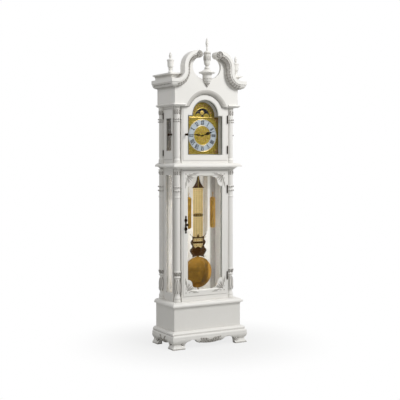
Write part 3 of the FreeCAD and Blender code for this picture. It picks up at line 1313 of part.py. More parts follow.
# Weights
def weight(x):
    cap_h = WEIGHT_CAP_H
    z0 = WEIGHT_Z + cap_h
    z1 = WEIGHT_Z + WEIGHT_H - cap_h
    up = V(0, 0, 1)
    shell = rod(x, WEIGHT_Y, z0, WEIGHT_R, z1 - z0,
                up).cut(rod(x, WEIGHT_Y, z0, WEIGHT_R - WEIGHT_WALL, z1 - z0, up))
    low = turned(x, WEIGHT_Y, WEIGHT_Z, WEIGHT_R, cap_h, WEIGHT_CAP_SHARES)
    high = turned(x, WEIGHT_Y, WEIGHT_Z, WEIGHT_R, cap_h, WEIGHT_CAP_SHARES)
    high = high.mirror(V(x, WEIGHT_Y, WEIGHT_Z + WEIGHT_H / 2), up)
    core = rod(x, WEIGHT_Y, z0, WEIGHT_R - WEIGHT_WALL, z1 - z0, up)
    top = WEIGHT_Z + WEIGHT_H
    stem = rod(x, WEIGHT_Y, top, WEIGHT_ROD_R, WEIGHT_HOOK_Z - WEIGHT_EYE_R - top, up)
    eye = Part.makeTorus(WEIGHT_EYE_R, WEIGHT_EYE_WIRE_R, V(x, WEIGHT_Y, WEIGHT_HOOK_Z), V(0, 1, 0))
    return Part.makeCompound([shell, core, low, high, stem.fuse(eye).removeSplitter()])


def weight_line():
    z_hang = WEIGHT_HOOK_Z + WEIGHT_EYE_R + WEIGHT_EYE_WIRE_R
    return rod(WEIGHT_X, WEIGHT_Y, z_hang, LINE_R, SEAT_Z + GUIDE_H - z_hang, V(0, 0, 1))


def line_lead():
    # The line leaves the outer side of the drum and bends once, into the guide bush.
    z_bend = SEAT_Z + GUIDE_H
    centre = V(WEIGHT_X - LINE_BEND_R, WEIGHT_Y, z_bend)
    wrap = DRUM_R + LINE_R + LINE_PLAY
    dx = centre.x - WIND_X
    dz = centre.z - WIND_Z
    reach = math.hypot(dx, dz)
    lean = math.atan2(dz, dx) + math.acos((wrap - LINE_BEND_R) / reach)
    a = V(math.cos(lean), 0, math.sin(lean))
    off_drum = V(WIND_X, WEIGHT_Y, WIND_Z) + a * wrap
    on_bend = centre + a * LINE_BEND_R
    b = V(math.cos(lean / 2), 0, math.sin(lean / 2))
    bend_mid = centre + b * LINE_BEND_R
    hang = V(WEIGHT_X, WEIGHT_Y, z_bend)
    spine = Part.Wire([Part.Arc(hang, bend_mid, on_bend).toShape(), Part.makeLine(on_bend, off_drum)])
    section = Part.Wire([Part.makeCircle(LINE_R, hang, V(0, 0, 1))])
    return spine.makePipeShell([section], True, False)


# Pendulum
def pendulum_rod():
    y = PENDULUM_Y - STRIP_T / 2
    along = V(0, STRIP_T, 0)
    strip = box(-STRIP_HALF, STRIP_HALF, y, y + STRIP_T, CROWN_TOP, PIVOT_Z)
    eye = rod(0, y, PIVOT_Z, EYE_R, STRIP_T, V(0, 1, 0))
    bore = rod(0, y, PIVOT_Z, PIVOT_R + PIVOT_PLAY, STRIP_T, V(0, 1, 0))
    panel = prism(rectangle(LATTICE_HALF, LATTICE_Z, LATTICE_TOP, 0), on_front(y), along)
    tail = box(-LUG_HALF, LUG_HALF, y, y + STRIP_T, LUG_TOP, LATTICE_Z)
    neck = box(-STRIP_HALF, STRIP_HALF, y, y + STRIP_T, LATTICE_TOP, CROWN_TOP)
    return strip.multiFuse([eye, panel, tail, neck]).cut(bore).cut(lattice_holes()).removeSplitter()


def lattice_holes():
    # Columns of small lozenges pierced through the panel on either side of the middle bar.
    y = PENDULUM_Y - STRIP_T / 2
    across = (LATTICE_HALF - LATTICE_BORDER - LATTICE_BAR) / LATTICE_COLUMNS
    step = (LATTICE_TOP - LATTICE_Z - LATTICE_BORDER * 2) / LATTICE_ROWS
    half = (across - LATTICE_WEB) / 2
    tall = (step - LATTICE_WEB) / 2
    holes = []
    for i in range(LATTICE_COLUMNS):
        x = LATTICE_BAR + across * (i + 0.5)
        for j in range(LATTICE_ROWS):
            z = LATTICE_Z + LATTICE_BORDER + step * (j + 0.5)
            rows = [(x - half, z), (x, z - tall), (x + half, z), (x, z + tall)]
            hole = prism(rows, on_front(y), V(0, STRIP_T, 0))
            holes += [hole, mirrored(hole)]
    return Part.makeCompound(holes)


def mount_plate(rows):
    left = [(-row[0], row[1]) + row[2:] for row in flipped(rows)]
    if rows[-1][0] == 0:
        left = left[1:]
    if rows[0][0] == 0:
        left = left[:-1]
    y = PENDULUM_Y - STRIP_T / 2
    return prism(rows + left, on_front(y), V(0, -MOUNT_T, 0))


def lyre_rows(shares):
    return [(LYRE_HALF * row[0], LYRE_Z + LYRE_H * row[1]) + row[2:] for row in shares]


def lyre():
    plate = mount_plate(lyre_rows(LYRE_SHARES))
    for light in (LYRE_LIGHT_SHARES, LYRE_TOP_LIGHT_SHARES):
        plate = plate.cut(mount_plate(lyre_rows(light)))
    y = PENDULUM_Y - STRIP_T / 2 - MOUNT_T
    return plate.cut(rod(0, y, BOB_Z, BOB_R + LYRE_PLAY, MOUNT_T, V(0, 1, 0)))


def pendulum_mounts():
    crown = mount_plate([(CROWN_HALF, LATTICE_TOP, CROWN_BEND_SHARE), (CROWN_TIP_HALF, CROWN_TOP)])
    clasp = mount_plate([(LATTICE_HALF * row[0],
                          CLASP_Z + CLASP_H * row[1]) + row[2:] for row in CLASP_SHARES])
    return Part.makeCompound([crown, clasp, lyre()])


def pendulum_bob():
    half = BOB_T / 2
    bend = math.tan(math.atan2(half - BOB_RIM, BOB_R) / 2)
    rows = [(0, -half, bend), (BOB_R, -BOB_RIM), (BOB_R, BOB_RIM, bend), (0, half)]
    face = Part.Face(outline(rows, lambda a, b: V(a, PENDULUM_Y + b, BOB_Z)))
    lens = face.revolve(V(0, PENDULUM_Y, BOB_Z), V(0, 1, 0), 360)
    lug = box(-LUG_HALF, LUG_HALF, PENDULUM_Y - LUG_T / 2, PENDULUM_Y + LUG_T / 2,
              BOB_Z + BOB_R - LUG_T, LUG_TOP)
    screw = rod(0, PENDULUM_Y, NUT_Z, NUT_ROD_R, BOB_Z - BOB_R + LUG_T - NUT_Z, V(0, 0, 1))
    nut = rod(0, PENDULUM_Y, NUT_Z, NUT_R, NUT_H, V(0, 0, 1))
    return lens.multiFuse([lug, screw, nut]).removeSplitter()


def crutch():
    y = CRUTCH_Y
    low = PIVOT_Z - CRUTCH_L
    ahead = V(0, 1, 0)
    arbor = rod(0, FRONT_PLATE_Y, PIVOT_Z, CRUTCH_ARBOR_R, y + CRUTCH_T - FRONT_PLATE_Y, ahead)
    arm = box(-CRUTCH_HALF, CRUTCH_HALF, y, y + CRUTCH_T, low, PIVOT_Z)
    half = STRIP_HALF + FORK_PLAY
    y1 = PENDULUM_Y + STRIP_T
    bridge = box(-half - FORK_T, half + FORK_T, y, y + CRUTCH_T, low, low + FORK_H)
    prong = box(half, half + FORK_T, y, y1, low, low + FORK_H)
    collar = rod(0, y, PIVOT_Z, CRUTCH_HALF * 2, CRUTCH_T, ahead)
    return arbor.multiFuse([arm, bridge, prong, mirrored(prong), collar, anchor()]).removeSplitter()


def anchor():
    low = PIVOT_Z - ANCHOR_DROP
    rows = [(0, PIVOT_Z + ANCHOR_ARM), (-ANCHOR_HALF, low),
            (ANCHOR_ARM - ANCHOR_HALF, low - ANCHOR_ARM),
            (ANCHOR_ARM - ANCHOR_HALF, low), (0, PIVOT_Z - ANCHOR_ARM)]
    half = prism(rows, on_front(ANCHOR_Y), V(0, ANCHOR_T, 0))
    return half.fuse(mirrored(half))


def escape_wheel():
    wheel = toothed_wheel(0, ANCHOR_Y, ESCAPE_Z, ESCAPE_R, ESCAPE_T, ESCAPE_TEETH)
    arbor = rod(0, FRONT_PLATE_Y, ESCAPE_Z, ESCAPE_ARBOR_R,
                BACK_PLATE_Y + MOVEMENT_PLATE_T - FRONT_PLATE_Y, V(0, 1, 0))
    return wheel.fuse(arbor).removeSplitter()


# Chime
def chime_rods():
    last = CHIME_X + CHIME_STEP * (CHIME_COUNT - 1)
    block = box(CHIME_X - BLOCK_MARGIN, last + BLOCK_MARGIN, CHIME_Y - BLOCK_MARGIN, BACK_BOARD_Y,
                CHIME_TOP,
                CHIME_TOP + BLOCK_H)
    rods = []
    for i in range(CHIME_COUNT):
        length = CHIME_L - CHIME_L_STEP * i
        rods.append(rod(CHIME_X + CHIME_STEP * i, CHIME_Y, CHIME_TOP - length, CHIME_R, length,
                        V(0, 0, 1)))
    return Part.makeCompound([block] + rods)


def nodes():
    neck = swan_neck()
    door = side_door()
    pane = side_pane()
    fittings = side_fittings()
    line = weight_line()
    return {
        "base_skirt_front": base_skirt_front(),
        "base_skirt_sides": base_skirt_sides(),
        "base_board": base_board(),
        "plinth_boards": plinth_boards(),
        "plinth_cap": plinth_cap(),
        "back_boards": Part.makeCompound([trunk_back(), hood_back()]),
        "trunk_sides": trunk_sides(),
        "trunk_side_glass": trunk_side_glass(),
        "trunk_front_frame": trunk_front_frame(),
        "trunk_columns": columns(TRUNK_Z, TRUNK_H, TRUNK_COLUMN_SHARES),
        "surbase": surbase(),
        "hood_sides": hood_sides(),
        "hood_columns": columns(HOOD_Z, HOOD_H, HOOD_COLUMN_SHARES),
        "hood_front_frame": hood_front_frame(),
        "hood_entablature": hood_entablature(),
        "frieze_mouldings": frieze_mouldings(),
        "pediment_board": pediment_board(),
        "swan_neck_left": mirrored(neck),
        "swan_neck_right": neck,
        "cornice_sides": cornice_sides(),
        "parapets": parapets(),
        "rosettes": rosettes(),
        "side_finials": side_finials(),
        "finial_bracket": finial_bracket(),
        "centre_finial": centre_finial(),
        "case_hinge_leaves": case_hinge_leaves(),
        "hood_door_frame": hood_door_frame(),
        "hood_door_glass": hood_door_glass(),
        "hood_door_fittings": hood_door_fittings(),
        "trunk_door_frame": trunk_door_frame(),
        "trunk_door_glass": trunk_door_glass(),
        "trunk_door_fittings": trunk_door_fittings(),
        "trunk_door_latch": trunk_door_latch(),
        "side_door_left": mirrored(door),
        "side_door_right": door,
        "side_door_pane_left": mirrored(pane),
        "side_door_pane_right": pane,
        "side_door_fittings_left": mirrored(fittings),
        "side_door_fittings_right": fittings,
        "movement_seat": movement_seat(),
        "line_guides": line_guides(),
        "movement_frame": movement_frame(),
        "dial_plate": dial_plate(),
        "chapter_ring": chapter_ring(),
        "moon_disc": moon_disc(),
        "minute_hand": minute_hand(),
        "hour_hand": hour_hand(),
        "drum_left": drum(-WIND_X),
        "drum_right": drum(WIND_X),
        "weight_left": weight(-WEIGHT_X),
        "weight_right": weight(WEIGHT_X),
        "weight_line_left": mirrored(line),
        "weight_line_right": line,
        "line_leads": both_sides(line_lead()),
        "pendulum_rod": pendulum_rod(),
        "pendulum_mounts": pendulum_mounts(),
        "pendulum_bob": pendulum_bob(),
        "crutch": crutch(),
        "escape_wheel": escape_wheel(),
        "chime_rods": chime_rods(),
    }


os.makedirs("parts", exist_ok=True)
for name, shape in nodes().items():
    shape.exportStep("parts/" + name + ".step")
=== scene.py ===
# %% [markdown]
# A white painted longcase clock. The case, doors, movement and hardware come from the solid model as a
# fixed frame. This lesson gives them their finishes and adds what a carver, a gilder and a dial painter
# would add.

# %% Load the frame
import bpy
import bmesh
import json
import math
from mathutils import Matrix, Vector


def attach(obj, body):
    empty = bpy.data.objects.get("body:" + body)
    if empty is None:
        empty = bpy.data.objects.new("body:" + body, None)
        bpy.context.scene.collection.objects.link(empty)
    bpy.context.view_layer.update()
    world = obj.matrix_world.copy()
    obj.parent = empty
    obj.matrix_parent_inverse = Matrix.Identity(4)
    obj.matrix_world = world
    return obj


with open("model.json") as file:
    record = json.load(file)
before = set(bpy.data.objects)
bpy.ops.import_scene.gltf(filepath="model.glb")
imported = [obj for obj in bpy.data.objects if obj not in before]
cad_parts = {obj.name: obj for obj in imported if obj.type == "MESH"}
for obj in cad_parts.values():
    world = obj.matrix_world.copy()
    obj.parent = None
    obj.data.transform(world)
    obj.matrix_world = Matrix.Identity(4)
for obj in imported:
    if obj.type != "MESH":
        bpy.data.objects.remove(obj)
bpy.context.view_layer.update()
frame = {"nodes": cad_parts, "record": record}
MM = 0.001

# %% [markdown]
# The picture was taken with a longish lens from the left front, a little above the middle of the trunk. A
# shorter lens nearby would fill the frame as well, but only a camera on the same line of sight, and as far
# away, gives the same foreshortening of the side.

# %% Camera
HEADING = math.radians(29.64)
TILT = math.radians(-2.761)
STATION = (-3.247, -5.712, 1.407)
LENS_MM = 77.9
SENSOR_MM = 36.0
camera_data = bpy.data.cameras.new("front_left_camera")
camera_data.lens = LENS_MM
camera_data.sensor_width = SENSOR_MM
camera = bpy.data.objects.new("front_left_camera", camera_data)
bpy.context.scene.collection.objects.link(camera)
camera.location = STATION
sight = Vector((math.sin(HEADING) * math.cos(TILT), math.cos(HEADING) * math.cos(TILT), math.sin(TILT)))
camera.rotation_mode = "QUATERNION"
camera.rotation_quaternion = sight.to_track_quat("-Z", "Y")
bpy.context.scene.camera = camera
bpy.context.scene.view_settings.view_transform = "Standard"
print("camera looks along", tuple(round(v, 3) for v in sight))

# %% [markdown]
# Every finish is a node material. Colours are written as they look on a screen, in hex, and one function
# turns them to the linear values that the shader works in. One more function adds a node with its settings
# and links.

# %% Colour and node helpers
def colour(text):
    parts = [int(text[i:i + 2], 16) / 255 for i in (1, 3, 5)]
    linear = [v / 12.92 if v <= 0.04045 else ((v + 0.055) / 1.055) ** 2.4 for v in parts]
    return (*linear, 1.0)


def add_node(tree, kind, inputs=None, **settings):
    node = tree.nodes.new(kind)
    for key, value in settings.items():
        setattr(node, key, value)
    for key, value in (inputs or {}).items():
        if isinstance(value, bpy.types.NodeSocket):
            tree.links.new(value, node.inputs[key])
        else:
            node.inputs[key].default_value = value
    return node


def start_finish(name):
    material = bpy.data.materials.new(name)
    material.use_nodes = True
    tree = material.node_tree
    tree.nodes.clear()
    shader = add_node(tree, "ShaderNodeBsdfPrincipled")
    add_node(tree, "ShaderNodeOutputMaterial", {"Surface": shader.outputs["BSDF"]})
    place = add_node(tree, "ShaderNodeTexCoord").outputs["Object"]
    return material, tree, shader, place


def per_mm(size):
    return 1.0 / (size * MM)


print("white reads as", colour("#FFFFFF")[:3])

# %% [markdown]
# The white case gets a grey-brown tone in its hollows: partly a thin glaze, which the rag leaves there,
# and partly painted shade, where shade falls. A mask could be painted by hand, but hollows can also be
# found. Ambient occlusion feels how closed a spot is. The cove of the arch and the back corners of the trunk
# get painted shade alone, and are known by their place. The carving carries its own height, an attribute
# called crest that is 0 at the ground and about 1 on top, and its low parts get glaze and painted shade.

# %% Where the glaze and the painted shade stay
# The arch cove faces down into shade, and gets an even painted shade by its distance from the arch's middle.
ARCH_MID = 1731.0
ARCH_COVE_R = 185.5
ARCH_EDGE = 2.0
ARCH_COVE_SHADE = 0.40
# Painted shade: a grey band at the trunk's back corners, from this x outwards.
CORNER_SHADE_X = 186.0
CORNER_SHADE_EDGE = 6.0
CORNER_SHADE_AMOUNT = 0.75
BACK_FACE_Y = 164.0
BACK_EDGE = 1.0
LOW_CREST = 0.35
HIGH_CREST = 1.10
CARVING_GLAZE_AND_SHADE = 0.95


# Ambient occlusion lays glaze and painted shade in whatever is closed in.
def glaze_and_shade_in_corners(reach_mm, closed, clear, most):
    def find(tree, place):
        hollow = add_node(tree, "ShaderNodeAmbientOcclusion", {"Distance": reach_mm * MM}, samples=8)
        glaze_shade_share = add_node(tree, "ShaderNodeMapRange", {"Value": hollow.outputs["AO"], "From Min": closed,
                                                     "From Max": clear, "To Min": most, "To Max": 0.0})
        return glaze_shade_share.outputs["Result"]

    return find


# Painted shade in the arch cove, found by place.
def shade_in_arch_cove(tree, place):
    centred = add_node(tree, "ShaderNodeMapping", {"Vector": place, "Location": (0.0, 0.0, -ARCH_MID * MM),
                                                   "Scale": (1.0, 0.0, 1.0)})
    reach = add_node(tree, "ShaderNodeVectorMath", {0: centred.outputs["Vector"]}, operation="LENGTH")
    glaze_shade_share = add_node(tree, "ShaderNodeMapRange", {"Value": reach.outputs["Value"],
                                                 "From Min": (ARCH_COVE_R - ARCH_EDGE) * MM,
                                                 "From Max": ARCH_COVE_R * MM,
                                                 "To Min": ARCH_COVE_SHADE, "To Max": 0.0})
    return glaze_shade_share.outputs["Result"]


# Painted shade on the inside face of the back board near its corners.
def painted_shade_in_back_corners(tree, place):
    spot = add_node(tree, "ShaderNodeSeparateXYZ", {"Vector": place}).outputs
    away = add_node(tree, "ShaderNodeMath", {0: spot["X"]}, operation="ABSOLUTE")
    corner_shade = add_node(tree, "ShaderNodeMapRange", {"Value": away.outputs["Value"],
                                                 "From Min": (CORNER_SHADE_X - CORNER_SHADE_EDGE) * MM,
                                                 "From Max": (CORNER_SHADE_X + CORNER_SHADE_EDGE) * MM,
                                                 "To Min": 0.0, "To Max": CORNER_SHADE_AMOUNT})
    inside = add_node(tree, "ShaderNodeMapRange", {"Value": spot["Y"],
                                                   "From Min": (BACK_FACE_Y - BACK_EDGE) * MM,
                                                   "From Max": (BACK_FACE_Y + BACK_EDGE) * MM,
                                                   "To Min": 1.0, "To Max": 0.0})
    return add_node(tree, "ShaderNodeMath", {0: corner_shade.outputs["Result"], 1: inside.outputs["Result"]},
                    operation="MULTIPLY").outputs["Value"]


# The low parts of the carving, told by their crest, get glaze and painted shade.
def glaze_and_shade_off_crests(tree, place):
    crest = add_node(tree, "ShaderNodeAttribute", attribute_name="crest")
    glaze_shade_share = add_node(tree, "ShaderNodeMapRange", {"Value": crest.outputs["Fac"],
                                                 "From Min": LOW_CREST, "From Max": HIGH_CREST,
                                                 "To Min": CARVING_GLAZE_AND_SHADE, "To Max": 0.0})
    return glaze_shade_share.outputs["Result"]


tight_corners = glaze_and_shade_in_corners(reach_mm=12, closed=0.30, clear=0.72, most=0.5)
whole_cove = glaze_and_shade_in_corners(reach_mm=55, closed=0.45, clear=1.0, most=0.5)
carved_ground = glaze_and_shade_in_corners(reach_mm=18, closed=0.40, clear=0.95, most=0.9)
fine_joints = glaze_and_shade_in_corners(reach_mm=5, closed=0.45, clear=0.95, most=0.4)
print("the arch cove keeps its painted shade within", ARCH_COVE_R, "mm of the arch's centre")

# %% [markdown]
# The lacquer is sprayed on in a satin white. Left as one flat white it would look like plastic, so a slow
# cloud moves the white and its gloss a little, a smaller one breaks up the glaze and painted shade, and the
# film has a faint ripple.

# %% White lacquer
# The tone laid in the hollows stands for a grey-brown glaze and for painted shade together.
GLAZE_AND_SHADE = "#6B6254"
DEEP_GLAZE_AND_SHADE = "#574C3E"
CLOUD_MM = 140.0
RUB_MM = 9.0
# The ripple of a sprayed film is about half a millimetre wide. It is drawn coarser, or it wouldn't show.
RIPPLE_MM = 2.5
RIPPLE_DEPTH_MM = 0.4
LACQUER_IOR = 1.5


def white_paint(name, hollows, glaze_and_shade_tone=GLAZE_AND_SHADE, white="#F3F1ED", shade="#EDEBE5"):
    material, tree, shader, place = start_finish(name)
    cloud = add_node(tree, "ShaderNodeTexNoise", {"Vector": place, "Scale": per_mm(CLOUD_MM), "Detail": 3.0})
    body = add_node(tree, "ShaderNodeMix", {"Factor": cloud.outputs["Fac"], 6: colour(white),
                                            7: colour(shade)}, data_type="RGBA")
    rub = add_node(tree, "ShaderNodeTexNoise", {"Vector": place, "Scale": per_mm(RUB_MM), "Detail": 2.0})
    broken = add_node(tree, "ShaderNodeMapRange", {"Value": rub.outputs["Fac"], "From Min": 0.3,
                                                   "From Max": 0.7, "To Min": 0.8, "To Max": 1.0})
    amount = add_node(tree, "ShaderNodeMath", {0: hollows(tree, place), 1: broken.outputs["Result"]},
                      operation="MULTIPLY")
    glazed_and_shaded = add_node(tree, "ShaderNodeMix", {"Factor": amount.outputs["Value"], 6: body.outputs[2],
                                              7: colour(glaze_and_shade_tone)}, data_type="RGBA")
    film = add_node(tree, "ShaderNodeTexNoise", {"Vector": place, "Scale": per_mm(RIPPLE_MM), "Detail": 2.0})
    bump = add_node(tree, "ShaderNodeBump", {"Height": film.outputs["Fac"], "Strength": 0.05,
                                             "Distance": RIPPLE_DEPTH_MM * MM})
    gloss = add_node(tree, "ShaderNodeMapRange", {"Value": cloud.outputs["Fac"], "To Min": 0.36,
                                                  "To Max": 0.50})
    tree.links.new(glazed_and_shaded.outputs[2], shader.inputs["Base Color"])
    tree.links.new(gloss.outputs["Result"], shader.inputs["Roughness"])
    tree.links.new(bump.outputs["Normal"], shader.inputs["Normal"])
    shader.inputs["IOR"].default_value = LACQUER_IOR
    return material


# Lacquer is smooth and half glossy: broad soft highlights, crisp white edges and a warm grey of glaze and
# painted shade only in corners.
case_paint = white_paint("satin_white_lacquer", tight_corners)
# In the cornice a painted shade in the glaze's tone lies over the whole cove, so that it looks deeper than it
# is.
cornice_paint = white_paint("cornice_glaze_and_painted_shade", whole_cove)
# Under carving the glaze is thick, and painted shade darkens the ground between the leaves.
ground_paint = white_paint("ground_glaze_and_painted_shade", carved_ground, DEEP_GLAZE_AND_SHADE)
# Columns and front frames are wiped nearly clean, to a fine line of glaze and painted shade beside beads and
# joints.
column_paint = white_paint("column_glaze_and_painted_shade", fine_joints, DEEP_GLAZE_AND_SHADE)
# The arched cove gets an even grey of painted shade, which draws the arch on the white board.
board_paint = white_paint("arch_cove_painted_shade", shade_in_arch_cove)
# Inside, the back board is painted a touch whiter to stand in for light, and its back corners get a grey band
# of painted shade.
back_paint = white_paint("inside_lacquer_lightened_shaded_corners", painted_shade_in_back_corners, white="#F5F4F0", shade="#EFEDE8")
# Carving under the same lacquer looks darker and livelier, because each leaf keeps glaze and painted shade
# round its lower edge.
carved_paint = white_paint("carving_glaze_and_painted_shade", glaze_and_shade_off_crests, DEEP_GLAZE_AND_SHADE, shade="#E9E6DF")
PAINTS = (case_paint, cornice_paint, ground_paint, column_paint, board_paint, back_paint, carved_paint)
print("paints:", *(paint.name for paint in PAINTS))

# %% [markdown]
# The metals share one recipe: a metallic shader whose colour wanders a little between a clean and a
# tarnished tone, with a fine scratch noise in the roughness. The noise is stretched along the way the metal
# was worked, so the drawn strip and turned weight shine in lines while cast pieces shine in soft patches.

# %% Metals
# Tool marks are about 0.1 mm apart on real metal. They are drawn coarser, so that they show.
TOOL_MARK_MM = 3.0
EVEN = (1.0, 1.0, 1.0)
UPRIGHT = (1.0, 1.0, 0.06)
BROAD = (0.05, 0.05, 0.05)


def worked_metal(name, clean, tarnish, patch_mm, stretch, smooth, rough, relief, relief_mm=0.3):
    material, tree, shader, place = start_finish(name)
    drawn = add_node(tree, "ShaderNodeMapping", {"Vector": place, "Scale": stretch})
    age = add_node(tree, "ShaderNodeTexNoise", {"Vector": place, "Scale": per_mm(patch_mm), "Detail": 5.0,
                                                "Roughness": 0.6})
    tone = add_node(tree, "ShaderNodeMapRange", {"Value": age.outputs["Fac"], "From Min": 0.35,
                                                 "From Max": 0.75})
    mixed = add_node(tree, "ShaderNodeMix", {"Factor": tone.outputs["Result"], 6: colour(clean),
                                             7: colour(tarnish)}, data_type="RGBA")
    marks = add_node(tree, "ShaderNodeTexNoise", {"Vector": drawn.outputs["Vector"], "Detail": 3.0,
                                                  "Scale": per_mm(TOOL_MARK_MM)})
    gloss = add_node(tree, "ShaderNodeMapRange", {"Value": marks.outputs["Fac"], "From Min": 0.3,
                                                  "From Max": 0.7, "To Min": smooth, "To Max": rough})
    bump = add_node(tree, "ShaderNodeBump", {"Height": marks.outputs["Fac"], "Strength": relief,
                                             "Distance": relief_mm * MM})
    tree.links.new(mixed.outputs[2], shader.inputs["Base Color"])
    tree.links.new(gloss.outputs["Result"], shader.inputs["Roughness"])
    tree.links.new(bump.outputs["Normal"], shader.inputs["Normal"])
    shader.inputs["Metallic"].default_value = 1.0
    return material


# After the name stand the clean and the tarnished tone, the size of a tarnish patch in mm, the way it was
# worked, its lowest and highest roughness and the strength of its relief.

# Polished brass is a warm gold with long upright reflections.
weight_brass = worked_metal("polished_weight_brass", "#CDA44B", "#A87C30", 60, UPRIGHT, 0.20, 0.32, 0.10)
# The bob's brass is browner and not quite flat, so it mirrors the inside of the case in slow waves.
bob_brass = worked_metal("aged_bob_brass", "#A98038", "#7E5A26", 35, BROAD, 0.14, 0.26, 0.6, 4.0)
# Rolled brass plate is paler and duller.
movement_brass = worked_metal("rolled_movement_brass", "#BC9A52", "#9C7A3C", 40, UPRIGHT, 0.28, 0.45, 0.15)
# Browned bronze is nearly black, and only its edges catch the light.
dark_bronze = worked_metal("browned_bronze", "#37291C", "#1E1711", 14, EVEN, 0.32, 0.52, 0.30)
# Cast bronze is a redder brown with a pitted, broken shine.
ornament_bronze = worked_metal("cast_ornament_bronze", "#56371A", "#28190B", 10, EVEN, 0.30, 0.50, 0.40)
# A twisted steel line is a thin cool grey thread.
line_steel = worked_metal("twisted_steel_line", "#9A9791", "#6F6C66", 20, EVEN, 0.30, 0.45, 0.20)
# Drawn bronze rods are thin upright lines of dull gold.
chime_bronze = worked_metal("drawn_chime_bronze", "#B59A60", "#8A7040", 80, UPRIGHT, 0.25, 0.40, 0.10)
# Gilt strip is the palest and brightest gold on the clock.
lattice_gilt = worked_metal("gilt_lattice_strip", "#F3DDA2", "#D8BC7C", 25, UPRIGHT, 0.30, 0.48, 0.12)
# Blued steel is a black that turns cold where it shines.
hand_black = worked_metal("blued_black_steel", "#15161A", "#0B0B0D", 12, EVEN, 0.28, 0.40, 0.10)
METALS = (weight_brass, bob_brass, movement_brass, dark_bronze, ornament_bronze, line_steel, chime_bronze,
          lattice_gilt, hand_black)
print("metals:", *(metal.name for metal in METALS))

# %% [markdown]
# The panes are thin float glass. A real pane lets almost all light through and only tints its edge green,
# so the shader is a clear dielectric at a low alpha: the rest of the light passes straight and the inside
# stays bright.

# %% Glass
# Glass gives the eye a faint cool veil, with a gloss that hand smears vary slowly.
SMEAR_MM = 180.0
GLASS_IOR = 1.52
VEIL = 0.04
pane_glass, tree, shader, place = start_finish("thin_float_glass")
smear = add_node(tree, "ShaderNodeTexNoise", {"Vector": place, "Scale": per_mm(SMEAR_MM), "Detail": 3.0})
haze = add_node(tree, "ShaderNodeMapRange", {"Value": smear.outputs["Fac"], "To Min": 0.02, "To Max": 0.07})
tint = add_node(tree, "ShaderNodeMix", {"Factor": smear.outputs["Fac"], 6: colour("#DDE6E2"),
                                        7: colour("#CFDAD5")}, data_type="RGBA")
tree.links.new(haze.outputs["Result"], shader.inputs["Roughness"])
tree.links.new(tint.outputs[2], shader.inputs["Base Color"])
shader.inputs["Transmission Weight"].default_value = 1.0
shader.inputs["Alpha"].default_value = VEIL
shader.inputs["IOR"].default_value = GLASS_IOR
print("glass:", pane_glass.name)

# %% [markdown]
# A few small things are neither lacquer nor metal: the plain pine of the seat board, the deep night blue of
# the moon disc. Two tones and one noise are enough for them, stretched along the board where the noise is
# wood grain.

# %% Pine and night enamel
ALONG_BOARD = (0.08, 1.0, 1.0)


def mottled(name, first, second, patch_mm, roughness, detail=4.0, stretch=EVEN, swirl=0.0):
    material, tree, shader, place = start_finish(name)
    laid = add_node(tree, "ShaderNodeMapping", {"Vector": place, "Scale": stretch})
    patch = add_node(tree, "ShaderNodeTexNoise", {"Vector": laid.outputs["Vector"], "Scale": per_mm(patch_mm),
                                                  "Detail": detail, "Distortion": swirl})
    tone = add_node(tree, "ShaderNodeMix", {"Factor": patch.outputs["Fac"], 6: colour(first),
                                            7: colour(second)}, data_type="RGBA")
    tree.links.new(tone.outputs[2], shader.inputs["Base Color"])
    shader.inputs["Roughness"].default_value = roughness
    return material, tree, shader, place


# Planed pine is dull and warm, with long darker streaks of late wood.
seat_pine, *_ = mottled("planed_pine", "#C9A676", "#9C7444", 7, 0.6, stretch=ALONG_BOARD, swirl=0.6)
# Enamel this dark is a cloudy blue-black. Its shine is held low, as the pane before it shines already.
night_enamel, tree, shader, place = mottled("night_blue_enamel", "#05060F", "#10152A", 30, 0.45)
shader.inputs["Specular IOR Level"].default_value = 0.2
print("small finishes:", seat_pine.name, night_enamel.name)

# %% [markdown]
# The dial plate is gilt brass, etched all over with a leaf ground and matted brighter inside the ring.
# Modelled leaves would be far too many, so a cell pattern broken by a noise stands for them, in colour and
# in bump.

# %% Gilt dial plate
# An etched gilt ground is a mottle of light and dark gold. Its leaves are drawn coarser than real, to show.
DIAL_MID = 1578.0
CENTRE_R = 71.0
ETCHED_LEAF_MM = 9.0
ETCHED_CURL_MM = 6.0
ETCH_DEPTH_MM = 0.8
ON_DIAL = {"Location": (0.0, 0.0, -DIAL_MID * MM)}
gilt_plate, tree, shader, place = start_finish("etched_gilt_plate")
centred = add_node(tree, "ShaderNodeMapping", {"Vector": place, "Scale": (1.0, 0.0, 1.0), **ON_DIAL})
reach = add_node(tree, "ShaderNodeVectorMath", {0: centred.outputs["Vector"]}, operation="LENGTH")
inside = add_node(tree, "ShaderNodeMath", {0: reach.outputs["Value"], 1: CENTRE_R * MM},
                  operation="LESS_THAN")
leaf = add_node(tree, "ShaderNodeTexVoronoi", {"Vector": place, "Scale": per_mm(ETCHED_LEAF_MM)},
                feature="SMOOTH_F1")
curl = add_node(tree, "ShaderNodeTexNoise", {"Vector": place, "Scale": per_mm(ETCHED_CURL_MM), "Detail": 3.0,
                                             "Distortion": 1.5})
depth = add_node(tree, "ShaderNodeMath", {0: leaf.outputs["Distance"], 1: curl.outputs["Fac"]},
                 operation="MULTIPLY")
worn = add_node(tree, "ShaderNodeMapRange", {"Value": depth.outputs["Value"], "From Min": 0.08,
                                             "From Max": 0.42})
field = add_node(tree, "ShaderNodeMix", {"Factor": worn.outputs["Result"], 6: colour("#A8963F"),
                                         7: colour("#624F1A")}, data_type="RGBA")
middle = add_node(tree, "ShaderNodeMix", {"Factor": worn.outputs["Result"], 6: colour("#BEAA48"),
                                          7: colour("#846B29")}, data_type="RGBA")
gilt = add_node(tree, "ShaderNodeMix", {"Factor": inside.outputs["Value"], 6: field.outputs[2],
                                        7: middle.outputs[2]}, data_type="RGBA")
